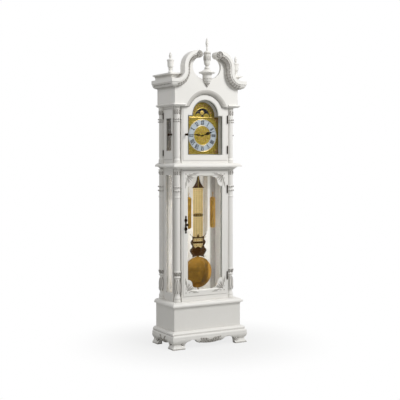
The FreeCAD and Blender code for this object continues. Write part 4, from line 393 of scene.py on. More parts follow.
etch = add_node(tree, "ShaderNodeBump", {"Height": depth.outputs["Value"], "Strength": 0.5,
                                         "Distance": ETCH_DEPTH_MM * MM})
tree.links.new(gilt.outputs[2], shader.inputs["Base Color"])
tree.links.new(etch.outputs["Normal"], shader.inputs["Normal"])
shader.inputs["Metallic"].default_value = 0.85
shader.inputs["Roughness"].default_value = 0.40
print("plate:", gilt_plate.name)

# %% [markdown]
# The chapter ring is silvered brass. The silver is rubbed on by hand while the ring turns, so its marks are
# circles round the dial's centre, and a ring wave set there draws them.

# %% Silvered chapter ring
# Silvering is a cool grey-blue white, half dull. Its circles are drawn coarser than real, to show.
RUBBED_CIRCLE_MM = 2.5
silvered, tree, shader, place = start_finish("silvered_chapter_ring")
centred = add_node(tree, "ShaderNodeMapping", {"Vector": place, **ON_DIAL})
circles = add_node(tree, "ShaderNodeTexWave", {"Vector": centred.outputs["Vector"], "Distortion": 1.0,
                                               "Scale": per_mm(RUBBED_CIRCLE_MM) / math.tau, "Detail": 2.0},
                   wave_type="RINGS", rings_direction="SPHERICAL")
silver = add_node(tree, "ShaderNodeMix", {"Factor": circles.outputs["Fac"], 6: colour("#C3CCD4"),
                                          7: colour("#AAB5BE")}, data_type="RGBA")
sheen = add_node(tree, "ShaderNodeMapRange", {"Value": circles.outputs["Fac"], "To Min": 0.35, "To Max": 0.5})
tree.links.new(silver.outputs[2], shader.inputs["Base Color"])
tree.links.new(sheen.outputs["Result"], shader.inputs["Roughness"])
shader.inputs["Metallic"].default_value = 0.35
print("ring:", silvered.name)

# %% [markdown]
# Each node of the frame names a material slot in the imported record. One table says which finish stands for
# which slot, and a few nodes that share a slot but were finished differently are named by themselves.

# %% Finishes on the frame
FINISH_OF_SLOT = {
    "painted_wood": case_paint, "painted_back_wood": back_paint, "seat_wood": seat_pine,
    "clear_glass": pane_glass, "dark_bronze": dark_bronze, "movement_brass": movement_brass,
    "polished_brass": weight_brass, "antique_brass": bob_brass, "gilt_dial": gilt_plate,
    "silvered_ring": silvered, "moon_enamel": night_enamel, "black_steel": hand_black,
    "plain_steel": line_steel, "chime_bronze": chime_bronze,
}
FINISH_OF_NODE = {
    "pendulum_rod": lattice_gilt, "pendulum_mounts": ornament_bronze, "pediment_board": board_paint,
    "swan_neck_left": cornice_paint, "swan_neck_right": cornice_paint, "cornice_sides": cornice_paint,
    "base_skirt_front": ground_paint, "base_skirt_sides": ground_paint, "rosettes": ground_paint,
    "finial_bracket": ground_paint, "centre_finial": ground_paint, "trunk_columns": column_paint,
    "hood_columns": column_paint, "trunk_front_frame": column_paint, "hood_front_frame": column_paint,
}
for subpart in frame["record"]["subparts"]:
    name = subpart["node"]
    node = frame["nodes"][name]
    node.data.materials.clear()
    node.data.materials.append(FINISH_OF_NODE.get(name, FINISH_OF_SLOT[subpart["material_slot"]]))
print("finished nodes:", len(frame["nodes"]))

# %% [markdown]
# Carving is built up from leaves, the way a carver sets out an ornament: a spine, and leaves turned out
# from it. A leaf starts as a small ball. It is drawn out to its length, narrowed towards its tip and
# hollowed along its midrib, and its height above the ground is kept as its crest. A bead is a ball that
# keeps its crest in the same way.

# %% Leaves and beads
LEAF_CREST = 2.4
BEAD_CREST = 0.2
MIDRIB = 4.0
forward = Vector((0, -1, 0))
upward = Vector((0, 0, 1))


def level_ray(turn):
    return Vector((math.cos(turn), math.sin(turn), 0))


def facing_ray(turn):
    return Vector((math.cos(turn), 0, math.sin(turn)))


def stand(root, along, out):
    up = Vector(along).normalized()
    face = Vector(out)
    face = (face - up * up.dot(face)).normalized()
    side = face.cross(up)
    return Matrix.Translation(Vector(root)) @ Matrix((side, face, up)).transposed().to_4x4()


def add_leaf(form, root, tip, out, width, depth, taper=0.8, groove=0.45, curl=0.0, sides=8, rings=6):
    crest = form.verts.layers.float.get("crest")
    along = Vector(tip) - Vector(root)
    ball = bmesh.ops.create_uvsphere(form, u_segments=sides, v_segments=rings, radius=0.5)
    for vert in ball["verts"]:
        across, height, rise = vert.co.x, vert.co.y, vert.co.z + 0.5
        lift = 1.0 - groove * (1.0 - min(1.0, abs(across) * MIDRIB))
        if crest is not None:
            vert[crest] = max(0.0, LEAF_CREST * height * lift)
        vert.co.x = across * width * (1.0 - taper * rise * rise)
        vert.co.y = depth * (height * lift + curl * rise * rise)
        vert.co.z = along.length * rise
    bmesh.ops.transform(form, matrix=stand(root, along, out), verts=ball["verts"])


def add_bead(form, centre, radius, out=forward, sides=8, rings=6):
    crest = form.verts.layers.float.get("crest")
    ball = bmesh.ops.create_uvsphere(form, u_segments=sides, v_segments=rings, radius=radius,
                                     matrix=Matrix.Translation(Vector(centre)))
    if crest is not None:
        for vert in ball["verts"]:
            vert[crest] = max(0.0, BEAD_CREST + (vert.co - Vector(centre)).dot(out) / radius)


print("a leaf's top has a crest of", LEAF_CREST / 2)

# %% [markdown]
# Everything is modelled in millimetres and brought to metres at the end, when the piece gets its finish and
# rides on its body. Carving gets one more layer of data, its crest. Symmetric carving is cut on one side
# and mirrored.

# %% Starting and finishing a piece
def start_carving():
    form = bmesh.new()
    form.verts.layers.float.new("crest")
    return form


def mirror_across(form):
    bmesh.ops.mirror(form, geom=form.verts[:] + form.edges[:] + form.faces[:], axis="X", merge_dist=-1.0)


def finish_piece(form, name, body, finish, crease=50):
    bmesh.ops.scale(form, vec=(MM, MM, MM), verts=form.verts)
    bmesh.ops.recalc_face_normals(form, faces=form.faces)
    mesh = bpy.data.meshes.new(name)
    form.to_mesh(mesh)
    form.free()
    mesh.materials.append(finish)
    mesh.shade_smooth()
    mesh.set_sharp_from_angle(angle=math.radians(crease))
    piece = bpy.data.objects.new(name, mesh)
    bpy.context.scene.collection.objects.link(piece)
    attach(piece, body)
    print(name, "on", body, "-", len(mesh.polygons), "faces")


def carve(form, name, body="case"):
    finish_piece(form, name, body, carved_paint)


print("carving is finished in", carved_paint.name)

# %% [markdown]
# Hoops, flames and scrolls are all one thing to a modeller: a small ring swept round an axis, in one plane
# or climbing like a screw. Bars and strips are blocks with softened edges. Two helpers make the plain
# forms.

# %% Swept rings and blocks
SWEEP_SIDES = 6
BEVEL_STEPS = 2


def edges_of(verts):
    return list(dict.fromkeys(edge for vert in verts for edge in vert.link_edges))


def sweep_ring(form, thick, matrix, axis, angle, steps, rise=(0, 0, 0), sides=SWEEP_SIDES, closed=False):
    ring = bmesh.ops.create_circle(form, segments=sides, radius=thick, matrix=matrix)["verts"]
    before = set(form.verts) - set(ring)
    bmesh.ops.spin(form, geom=ring + edges_of(ring), cent=(0, 0, 0), axis=axis, angle=angle, dvec=rise,
                   steps=steps, use_merge=closed)
    return [vert for vert in form.verts if vert not in before]


def add_block(form, centre, size):
    block = bmesh.ops.create_cube(form, size=1.0)["verts"]
    bmesh.ops.scale(form, vec=size, verts=block)
    bmesh.ops.translate(form, vec=centre, verts=block)
    return block


def soften(form, verts, radius):
    bmesh.ops.bevel(form, geom=edges_of(verts), offset=radius, segments=BEVEL_STEPS, profile=0.5,
                    affect="EDGES", material=-1)


print("swept rings have", SWEEP_SIDES, "sides, or more where they are to look round")

# %% [markdown]
# A carver holds the tool against the work, so the size of a turned piece never has to be known beforehand.
# A ray sent from the front onto the frame's own mesh does the same here: it gives the radius of a turned
# piece at any height.

# %% Feeling the turned pieces
FEELER = 1000.0
FINIAL_Y = -111.0
URN_MIDDLE_Z = 2150.0


def turned_radius(node, x, y, z):
    hit, place, _, _ = frame["nodes"][node].ray_cast(Vector((x, -FEELER, z)) * MM, Vector((0, 1, 0)))
    return y - place.y / MM if hit else 0.0


print("radius of the centre urn:", round(turned_radius("centre_finial", 0, FINIAL_Y, URN_MIDDLE_Z), 1))

# %% [markdown]
# A band of leaves runs round the hollow of the cornice, over both swan necks and along both sides. On the
# real clock it is a strip of broad leaves with a small dart between each two. The band follows the same
# arcs as the neck moulding, so the leaves are set out along those arcs and turned to face out of the
# moulding.

# %% Cornice leaf band
BOARD_Y = -110.0
CORNICE_TOP = 1988.0
# Middle, in x and z, and radius of the neck's upper arc and of its foot.
NECK_ARC = (92.0, 2079.0, 121.0)
NECK_FOOT = (273.0, 2048.0, 60.0)
NECK_SWEEP = math.radians(76)
FOOT_END = math.radians(272)
FOOT_SPREAD = 1.77
# How far the top and the foot of the band stand out from the board and lie inside the outer edge.
BAND_TOP = (43.0, 31.0)
BAND_FOOT = (14.0, 57.0)
BAND_LIFT = 4.0
# The leaves face this much forwards and this much into the cove.
BAND_TILT = (0.63, 0.78)
LEAF_PITCH = 22.0
FIRST_LEAF = 0.25
# Place within the pitch, width, depth and taper of the leaf and of the dart.
LEAF_AND_DART = ((0.0, 20.0, 15.0, 0.10), (0.5, 6.0, 11.0, 0.5))
SIDE_X = 270.0
SIDE_FRONT_Y = BOARD_Y - 8.0
SIDE_BACK_Y = 165.0


def neck_frame(distance, drop):
    x0, z0, r0 = NECK_ARC
    x1, z1, r1 = NECK_FOOT
    top_run = NECK_SWEEP * r0
    side_run = z0 - z1
    if distance < top_run:
        inward = -facing_ray(NECK_SWEEP - distance / r0)
        return Vector((x0, BOARD_Y, z0)) - inward * (r0 - drop), inward
    if distance < top_run + side_run:
        return Vector((x0 + r0 - drop, BOARD_Y, z0 - distance + top_run)), Vector((-1, 0, 0))
    inward = facing_ray(min(math.pi + (distance - top_run - side_run) / (r1 * FOOT_SPREAD), FOOT_END))
    return Vector((x1, BOARD_Y, z1)) + inward * (r1 + drop), inward


def add_band_leaf(form, top, foot, inward, out_way, width, depth, taper):
    face = (out_way * BAND_TILT[0] + inward * BAND_TILT[1]).normalized()
    root = top + out_way * BAND_TOP[0] + face * BAND_LIFT
    tip = foot + out_way * BAND_FOOT[0] + face * BAND_LIFT
    add_leaf(form, root, tip, face, width, depth, taper=taper)


band = start_carving()
neck_length = NECK_SWEEP * NECK_ARC[2] + NECK_ARC[1] - NECK_FOOT[1] + math.pi / 2 * NECK_FOOT[2] * FOOT_SPREAD
neck_count = round(neck_length / LEAF_PITCH)
side_length = SIDE_BACK_Y - BOARD_Y
side_count = round(side_length / LEAF_PITCH)
for half, *leaf_size in LEAF_AND_DART:
    for step in range(neck_count):
        distance = neck_length * (step + half + FIRST_LEAF) / neck_count
        top, inward = neck_frame(distance, BAND_TOP[1])
        foot, _ = neck_frame(distance, BAND_FOOT[1])
        add_band_leaf(band, top, foot, inward, forward, *leaf_size)
    for step in range(side_count):
        y = SIDE_FRONT_Y + side_length * (step + half) / side_count
        top, foot = (Vector((SIDE_X, y, CORNICE_TOP - drop)) for drop in (BAND_TOP[1], BAND_FOOT[1]))
        add_band_leaf(band, top, foot, -upward, Vector((1, 0, 0)), *leaf_size)
mirror_across(band)
carve(band, "cornice_leaf_band")

# %% [markdown]
# Each swan neck ends in a rosette: two rings of petals round a bead, with a spray of leaves trailing from
# it down the face of the moulding. One side is carved and then mirrored.

# %% Rosette petals
ROSETTE = Vector((83.0, -158.0, 2173.0))
ROSETTE_BEAD_R = 5.5
# Petals, offset in a pitch, start and reach from the middle, width, depth and how far the ring lies back.
PETAL_RINGS = ((9, 0.0, 8.0, 25.0, 13.0, 9.0, 4.0), (6, 0.5, 4.0, 15.0, 8.0, 7.0, 0.0))
TRAIL_LEAVES = 6
TRAIL_R = 88.0
TRAIL_START = math.radians(66)
TRAIL_STEP = math.radians(9)
TRAIL_FRONT_Y = -152.0
TRAIL_BACK_STEP = 3.0
TRAIL_LENGTH = 16.0
TRAIL_SPREAD = 9.0
TRAIL_WIDTH = 11.0
TRAIL_DEPTH = 9.0
rosette = start_carving()
for petals, offset, start, reach, width, depth, back in PETAL_RINGS:
    for petal in range(petals):
        ray = facing_ray(math.tau * (petal + offset) / petals)
        root = ROSETTE + ray * start - forward * back
        add_leaf(rosette, root, root + ray * (reach - start), forward, width, depth, taper=0.25, curl=0.15)
add_bead(rosette, ROSETTE + forward, ROSETTE_BEAD_R, sides=12, rings=8)
for leaf in range(TRAIL_LEAVES):
    turn = TRAIL_START - leaf * TRAIL_STEP
    ray = facing_ray(turn)
    spot = Vector((NECK_ARC[0], TRAIL_FRONT_Y + leaf * TRAIL_BACK_STEP, NECK_ARC[1])) + ray * TRAIL_R
    tip = spot + facing_ray(turn - math.pi / 2) * TRAIL_LENGTH
    for side in (-1, 1):
        add_leaf(rosette, spot, tip + ray * (TRAIL_SPREAD - leaf) * side, forward, TRAIL_WIDTH - leaf,
                 TRAIL_DEPTH, taper=0.7)
mirror_across(rosette)
carve(rosette, "rosette_petals")

# %% [markdown]
# The centre finial stands on a dish over a corbel, which is cut as a hanging cluster of leaves. Rows of
# overlapping leaves are laid round the cone from the top down, each row smaller, and a bud closes the
# point. The urn above wears a calyx of upright leaves and a short collar, so the turned shape shows only
# between them.

# %% Corbel and urn leaves
# Top and low height, radius at both and count of each row. The wall behind leaves half of the cone to carve.
CORBEL_ROWS = ((2023, 1990, 31, 27, 9), (2003, 1972, 25, 21, 8), (1983, 1958, 19, 14, 7),
               (1968, 1948, 13, 6, 5))
CORBEL_TIP_LIFT = 3.0
CORBEL_WIDTH_SHARE = 4.2
CORBEL_DEPTH = 8.0
BUD = (Vector((0, FINIAL_Y - 5, 1956)), Vector((0, FINIAL_Y - 4, 1934)))
BUD_WIDTH = 14.0
BUD_DEPTH = 13.0
# Count, offset in a pitch, low and high end, width and depth of each row.
URN_ROWS = ((9, 0.0, 2094, 2142, 15.0, 7.0), (9, 0.5, 2128, 2172, 12.0, 6.0),
            (12, 0.0, 2190, 2174, 10.0, 6.0))
finial = start_carving()
for row, (z_top, z_low, r_top, r_low, leaves) in enumerate(CORBEL_ROWS):
    for leaf in range(leaves):
        ray = level_ray(math.pi + math.pi * (leaf + 0.5 * (row % 2) + 0.25) / (leaves - 0.5))
        root = Vector((0, FINIAL_Y, z_top)) + ray * r_top
        tip = Vector((0, FINIAL_Y, z_low)) + ray * (r_low + CORBEL_TIP_LIFT)
        add_leaf(finial, root, tip, ray, CORBEL_WIDTH_SHARE * r_top / leaves, CORBEL_DEPTH, taper=0.6,
                 curl=0.2)
add_leaf(finial, *BUD, forward, BUD_WIDTH, BUD_DEPTH, taper=0.9, groove=0.0)
for leaves, offset, low, high, width, depth in URN_ROWS:
    radii = [(z, turned_radius("centre_finial", 0, FINIAL_Y, z)) for z in (low, high)]
    for leaf in range(leaves):
        ray = level_ray(math.tau * (leaf + offset) / leaves)
        ends = [Vector((0, FINIAL_Y, z)) + ray * radius for z, radius in radii]
        add_leaf(finial, *ends, ray, width, depth, taper=0.5)
carve(finial, "corbel_and_urn_leaves")

# %% [markdown]
# The dish between corbel and urn is turned. A lathe needs only the section, so a line of a few points is
# spun once round the finial's axis.

# %% Dish moulding
DISH_LINE = ((57.0, 2046.6), (50.0, 2048.6), (41.0, 2052.0), (33.0, 2057.0), (26.0, 2063.0), (19.0, 2067.0),
             (14.0, 2067.5))
DISH_STEPS = 48
cover = bmesh.new()
line = [cover.verts.new((radius, FINIAL_Y, z)) for radius, z in DISH_LINE]
for first, second in zip(line, line[1:]):
    cover.edges.new((first, second))
bmesh.ops.spin(cover, geom=cover.verts[:] + cover.edges[:], cent=(0, FINIAL_Y, 0), axis=upward,
               angle=math.tau, steps=DISH_STEPS, use_merge=True)
finish_piece(cover, "dish_moulding", "case", case_paint)

# %% [markdown]
# The finials end in a flame. A turner cuts the plain taper first, and the carver then cuts a twist into it.
# Here a bead section is spun up in a screw of unit size, and each point is then drawn out to the radius of
# the taper.

# %% Flame twists
STRANDS = 3
STRAND_R = 0.45
STRAND_OUT = 0.72
FLAME_STEPS = 26
FLAME_CREST = 0.8
SIDE_FINIAL = (281.0, -62.0)
# Foot, tip and turns.
CENTRE_FLAME = (2206, 2298, 1.3)
SIDE_FLAME = (2136, 2183, 1.0)


def add_twist(form, node, x, y, low, high, turns):
    crest = form.verts.layers.float["crest"]
    section = Matrix.Translation((STRAND_OUT, 0, 0)) @ Matrix.Rotation(math.pi / 2, 4, "X")
    for strand in range(STRANDS):
        start = Matrix.Rotation(math.tau * strand / STRANDS, 4, "Z") @ section
        for vert in sweep_ring(form, STRAND_R, start, upward, math.tau * turns, FLAME_STEPS,
                               rise=upward * (high - low) / FLAME_STEPS):
            vert[crest] = max(0.0, FLAME_CREST * (vert.co.xy.length - STRAND_OUT) / STRAND_R)
            height = min(high, max(low, low + vert.co.z))
            radius = turned_radius(node, x, y, height)
            vert.co = Vector((x + vert.co.x * radius, y + vert.co.y * radius, height))


flames = start_carving()
add_twist(flames, "centre_finial", 0, FINIAL_Y, *CENTRE_FLAME)
for side in (-1, 1):
    add_twist(flames, "side_finials", side * SIDE_FINIAL[0], SIDE_FINIAL[1], *SIDE_FLAME)
carve(flames, "finial_flames")

# %% [markdown]
# The columns are turned and then carved: reeds on the baluster foot, a collar of leaves above it, strings
# of beads on the rings and a leaf capital. The front columns are round, the rear ones are half columns
# against the wall, so on those only the outer half is carved. A few helpers repeat one cut round a column.

# %% Cuts round a column
# Axis in x and y, and the start and sweep of what can be carved.
FRONT_COLUMNS = [(side * 228.5, -66.0, 0.0, math.tau) for side in (-1, 1)]
REAR_COLUMNS = [(250.0, 138.0, -math.pi / 2, math.pi), (-250.0, 138.0, math.pi / 2, math.pi)]
BEAD_PROUD_SHARE = 0.3
SHAFT_Z = 850.0


def column_radius(node, z):
    return turned_radius(node, *FRONT_COLUMNS[0][:2], z)


def around(column, count):
    x, y, start, sweep = column
    whole = round(count * sweep / math.tau)
    for index in range(whole):
        yield Vector((x, y, 0)), level_ray(start + sweep * (index + 0.5) / whole)


def add_leaf_ring(form, node, column, count, low, high, width, depth, taper):
    radii = [(z, column_radius(node, z)) for z in (low, high)]
    for axis, ray in around(column, count):
        ends = [axis + ray * radius + upward * z for z, radius in radii]
        add_leaf(form, *ends, ray, width, depth, taper=taper, curl=0.2)


def add_bead_ring(form, node, column, count, z, size):
    radius = column_radius(node, z) + BEAD_PROUD_SHARE * size
    for axis, ray in around(column, count):
        add_bead(form, axis + ray * radius + upward * z, size, ray, sides=6, rings=5)


def add_reeds(form, node, column, count, low, high, width, depth):
    crest = form.verts.layers.float["crest"]
    for axis, ray in around(column, count):
        side = ray.cross(upward)
        for vert in bmesh.ops.create_uvsphere(form, u_segments=8, v_segments=10, radius=0.5)["verts"]:
            across, height, rise = vert.co.x, vert.co.y, vert.co.z + 0.5
            z = low + (high - low) * rise
            vert[crest] = max(0.0, LEAF_CREST * height)
            vert.co = (axis + ray * (column_radius(node, z) + depth * height) + side * (width * across)
                       + upward * z)


print("trunk column shaft radius:", round(column_radius("trunk_columns", SHAFT_Z), 1))

# %% [markdown]
# The cuts are few and bold, as on painted work that is seen from across a room. Trunk and hood columns are
# carved alike, and stay two pieces because each stack of columns is its own turning.

# %% Column carving
# Count round a whole column, low and high end, width, depth and, for leaves, taper.
FOOT_REEDS = (8, 399, 505, 13.5, 8.0)
COLLAR_LEAVES = (7, 531, 560, 18.0, 8.0, 0.5)
TRUNK_CAPITAL = (8, 1282, 1308, 15.0, 8.0, 0.2)
HOOD_CAPITAL = (8, 1730, 1764, 14.5, 7.5, 0.35)
# Count round a whole column, height and size.
TRUNK_BEADS = ((10, 1163.5, 5.4), (10, 1193.5, 5.4))
HOOD_BEADS = ((10, 1680.0, 5.2), (10, 1698.0, 5.2))
trunk_carving = start_carving()
hood_carving = start_carving()
for column in FRONT_COLUMNS + REAR_COLUMNS:
    add_reeds(trunk_carving, "trunk_columns", column, *FOOT_REEDS)
    add_leaf_ring(trunk_carving, "trunk_columns", column, *COLLAR_LEAVES)
    add_leaf_ring(trunk_carving, "trunk_columns", column, *TRUNK_CAPITAL)
    add_leaf_ring(hood_carving, "hood_columns", column, *HOOD_CAPITAL)
    for beads in TRUNK_BEADS:
        add_bead_ring(trunk_carving, "trunk_columns", column, *beads)
    for beads in HOOD_BEADS:
        add_bead_ring(hood_carving, "hood_columns", column, *beads)
carve(trunk_carving, "trunk_column_carving")
carve(hood_carving, "hood_column_carving")

# %% [markdown]
# Low carving has to lie on its ground. A ray sent from the front, or from one side, onto the frame's own
# mesh finds that ground, so the carving follows the bulge of the skirt and the steps of the door. Where one
# end of a leaf reaches past the wood, it takes its depth from the other end.

# %% Finding the ground
SKIRT_MIDDLE_Z = 60.0


def ground(node, along, z, side=0):
    start = Vector((side * FEELER, along, z)) if side else Vector((along, -FEELER, z))
    hit, place, _, _ = frame["nodes"][node].ray_cast(start * MM, Vector((-side, 0 if side else 1, 0)))
    return place / MM if hit else None


def out_of(side):
    return Vector((side, 0, 0)) if side else forward


def beside(known, along, z, side):
    return Vector((known.x, along, z)) if side else Vector((along, known.y, z))


def add_low_leaf(form, node, root, tip, width, depth, side=0):
    first = ground(node, *root, side)
    last = ground(node, *tip, side)
    if first or last:
        first = first or beside(last, *root, side)
        last = last or beside(first, *tip, side)
        add_leaf(form, first, last, out_of(side), width, depth, taper=0.75)


print("skirt ground in the middle:", round(ground("base_skirt_front", 0, SKIRT_MIDDLE_Z).y, 1))

# %% [markdown]
# A volute is a roll of wood that winds in on a bead. A ring swept in a tall screw has the right number of
# turns and steps, and each step is then pressed flat and drawn in towards the middle, which makes the screw
# a spiral.

# %% Volutes
SCROLL_STEPS = 24
SCROLL_TURNS = 1.6
# Each step of the screw rises so far that it can be told from its neighbours when it is pressed flat.
SCROLL_RISE = 100.0
SCROLL_WIND = 0.85
SCROLL_CREST = 0.1
EYE_SHARE = 1.2


def add_scroll(form, centre, radius, thick, out=forward, hand=1):
    crest = form.verts.layers.float["crest"]
    made = sweep_ring(form, thick, Matrix.Translation((radius, 0, 0)), (0, 1, 0),
                      hand * math.tau * SCROLL_TURNS, SCROLL_STEPS, rise=(0, SCROLL_RISE, 0))
    for vert in made:
        step = round(vert.co.y / SCROLL_RISE)
        shrink = 1.0 - SCROLL_WIND * step / SCROLL_STEPS
        slim = 0.5 + 0.5 * shrink
        height = (vert.co.y - SCROLL_RISE * step) * slim
        reach = Vector((vert.co.x, 0, vert.co.z))
        wound = radius * shrink + (reach.length - radius) * slim
        vert[crest] = max(0.0, SCROLL_CREST - height / (thick * slim))
        vert.co = reach.normalized() * wound + Vector((0, height, 0))
    bmesh.ops.rotate(form, cent=(0, 0, 0), matrix=forward.rotation_difference(out).to_matrix(), verts=made)
    bmesh.ops.translate(form, vec=Vector(centre), verts=made)
    add_bead(form, centre, thick * EYE_SHARE, out)


print("a volute winds", SCROLL_TURNS, "turns")

# %% [markdown]
# Each corner of the trunk door carries a spray of leaves in low relief: one long leaf on the diagonal,
# pairs of shorter ones swinging out to the stile and the rail, and small volutes where they part. One list
# of places, counted from the corner of the glass, serves all four corners.

# %% Door corner carving
DOOR_NODE = "trunk_door_frame"
CORNER_X = 158.0
# Which way is out, and the height of the corner, at the top and at the bottom.
CORNER_ENDS = ((1, 1282.0), (-1, 413.0))
SPRAY_DEPTH = 6.0
# Root, tip and width of each leaf.
SPRAY = (((2, 2), (44, 42), 13), ((6, 16), (20, 62), 11), ((16, 6), (62, 20), 11), ((0, 26), (-6, 84), 9),
         ((26, 0), (86, -6), 9), ((14, 30), (30, 56), 9), ((30, 14), (56, 30), 9), ((-10, 50), (-14, 102), 7),
         ((50, -12), (104, -14), 7))
SPRAY_VOLUTES = ((-8, -8), (-6, 22), (22, -6))
SPRAY_VOLUTE = (6.0, 2.2)


def in_corner(side, end, corner_z, across, down):
    return side * (CORNER_X - across), corner_z - end * down


spray = start_carving()
for side in (-1, 1):
    for corner in CORNER_ENDS:
        for root, tip, width in SPRAY:
            ends = [in_corner(side, *corner, *spot) for spot in (root, tip)]
            add_low_leaf(spray, DOOR_NODE, *ends, width, SPRAY_DEPTH)
        for spot in SPRAY_VOLUTES:
            add_scroll(spray, ground(DOOR_NODE, *in_corner(side, *corner, *spot)), *SPRAY_VOLUTE)
carve(spray, "door_corner_carving", "trunk_door")

# %% [markdown]
# Under the middle of the skirt hangs a carved spray: a shell of short leaves and two runs of longer ones
# that follow the lower edge. The sides carry a smaller one. Volutes close the inside of each foot.

# %% Skirt carving
EDGE_MARGIN = 7.0
EDGE_SEARCH = range(10, 100, 2)
SHELL_LEAVES = 7
SHELL_RISE = 16.0
SHELL_START = -165.0
SHELL_SWEEP = 150.0
SHELL_ROOT = 5.0
SHELL_REACH = (26.0, 22.0)
SHELL_LEAF = (13.0, 12.0)
RUN_START = 16.0
RUN_STEP = 22.0
RUN_LENGTH = 30.0
# How far root and tip stand above the edge, in the lower and the upper run.
RUN_ROWS = ((0, 2), (14, 30))
RUN_WIDTH = 17.0
RUN_DEPTH = 17.0
FOOT_SCROLL_Z = 42.0
FOOT_SCROLL = (17.0, 5.2)
# Node, side, leaves in a run, and the places of the foot volutes along that side.
SKIRTS = (("base_skirt_front", 0, 3, (-228, 228)), ("base_skirt_sides", -1, 1, (-98, 112)),
          ("base_skirt_sides", 1, 1, (-98, 112)))


def lower_edge(node, along, side):
    return next(z for z in EDGE_SEARCH if ground(node, along, z, side)) + EDGE_MARGIN


skirt = start_carving()
for node, side, runs, feet in SKIRTS:
    shell_z = lower_edge(node, 0, side) + SHELL_RISE
    for leaf in range(SHELL_LEAVES):
        ray = level_ray(math.radians(SHELL_START + leaf * SHELL_SWEEP / (SHELL_LEAVES - 1)))
        add_low_leaf(skirt, node, (SHELL_ROOT * ray.x, shell_z),
                     (SHELL_REACH[0] * ray.x, shell_z + SHELL_REACH[1] * ray.y), *SHELL_LEAF, side)
    for way in (-1, 1):
        for leaf in range(runs):
            start = way * (RUN_START + leaf * RUN_STEP)
            end = start + way * RUN_LENGTH
            for low, high in RUN_ROWS:
                add_low_leaf(skirt, node, (start, lower_edge(node, start, side) + low),
                             (end, lower_edge(node, end, side) + high), RUN_WIDTH - leaf, RUN_DEPTH, side)
    for foot in feet:
        hand = math.copysign(1, foot) * (-side if side else 1)
        add_scroll(skirt, ground(node, foot, FOOT_SCROLL_Z, side), *FOOT_SCROLL, out_of(side), hand)
carve(skirt, "skirt_carving")

# %% [markdown]
# Behind the glass of the hood a white board frames the dial, and a white liner closes the gap between board
# and door against dust. Both start from an arched outline. The board is bridged between two outlines and
# given its thickness. The liner is one outline drawn back into a ribbon.

# %% Dial surround and liner
ARCH_STEPS = 32
DIAL_HALF = 141.0
DIAL_ARCH_MID = 1722.0
# Half width, foot, shoulder, middle of the arch and its radius.
SURROUND_INSIDE = (DIAL_HALF, DIAL_MID - DIAL_HALF, DIAL_MID + DIAL_HALF, DIAL_ARCH_MID, 107.0)
SURROUND_OUTSIDE = (177.0, 1404.0, 1789.0, DIAL_ARCH_MID, 146.0)
LINER = (157.0, 1422.5, 1733.5, ARCH_MID, 119.5)
SURROUND_Y = (-40.5, -37.5)
LINER_Y = (-66.0, -41.0)
RIBBON_T = 1.5


def add_arch(form, y, half, low, shoulder, mid, radius):
    reach = math.sqrt(radius * radius - (shoulder - mid) ** 2)
    first = math.atan2(shoulder - mid, reach)
    turns = [first + (math.pi - 2 * first) * i / ARCH_STEPS for i in range(ARCH_STEPS + 1)]
    arc = [(radius * math.cos(turn), mid + radius * math.sin(turn)) for turn in turns]
    outline = [(half, low), (half, shoulder), *arc, (-half, shoulder), (-half, low)]
    verts = [form.verts.new((x, y, z)) for x, z in outline]
    return [form.edges.new((verts[i - 1], verts[i])) for i in range(len(verts))]


def push_back(form, drawn, distance):
    verts = [item for item in drawn["geom"] if isinstance(item, bmesh.types.BMVert)]
    bmesh.ops.translate(form, vec=(0, distance, 0), verts=verts)


def add_ribbon(name, body, finish, arch, y_front, y_back):
    ribbon = bmesh.new()
    drawn = bmesh.ops.extrude_edge_only(ribbon, edges=add_arch(ribbon, y_front, *arch))
    push_back(ribbon, drawn, y_back - y_front)
    bmesh.ops.recalc_face_normals(ribbon, faces=ribbon.faces)
    bmesh.ops.solidify(ribbon, geom=ribbon.faces[:], thickness=RIBBON_T)
    finish_piece(ribbon, name, body, finish, crease=30)


surround = bmesh.new()
inside = add_arch(surround, SURROUND_Y[0], *SURROUND_INSIDE)
outside = add_arch(surround, SURROUND_Y[0], *SURROUND_OUTSIDE)
bmesh.ops.bridge_loops(surround, edges=inside + outside)
drawn = bmesh.ops.extrude_face_region(surround, geom=surround.faces[:])
push_back(surround, drawn, SURROUND_Y[1] - SURROUND_Y[0])
finish_piece(surround, "dial_surround", "case", case_paint, crease=30)
add_ribbon("dial_liner", "case", case_paint, LINER, *LINER_Y)

# %% [markdown]
# Beside both panes a narrow grey strip is painted shade: it stands for the shaded inner edge of the door,
# and shows as a thin dark line beside the glass. The hood's follows the arch of its door. The trunk's runs
# only along the straight of each stile, between the carved corners.

# %% Painted shade strips beside the panes
HOOD_REVEAL_SHADE = (145.0, 1434.5, 1721.5, ARCH_MID, 107.5)
HOOD_REVEAL_SHADE_Y = (-87.0, -74.6)
TRUNK_REVEAL_SHADE_SIZE = (1.6, 7.0, 690.0)
TRUNK_REVEAL_SHADE_AT = (148.0, -78.0, 847.5)
REVEAL_SHADE_EDGE_R = 0.4
# The painted shade grey is dull and a little grainy, with its grain drawn at 1.5 mm so that it shows at all.
# The grain is drawn coarser than real, at 1.5 mm, so that it shows at all.
reveal_shade_grey, *_ = mottled("reveal_painted_shade_grey", "#868A82", "#6B6F68", 1.5, 0.95)
add_ribbon("hood_reveal_painted_shade", "hood_door", reveal_shade_grey, HOOD_REVEAL_SHADE, *HOOD_REVEAL_SHADE_Y)
reveal_shade_strips = bmesh.new()
for side in (-1, 1):
    add_block(reveal_shade_strips, (side * TRUNK_REVEAL_SHADE_AT[0], *TRUNK_REVEAL_SHADE_AT[1:]), TRUNK_REVEAL_SHADE_SIZE)
soften(reveal_shade_strips, reveal_shade_strips.verts, REVEAL_SHADE_EDGE_R)
finish_piece(reveal_shade_strips, "trunk_reveal_painted_shade", "trunk_door", reveal_shade_grey, crease=30)

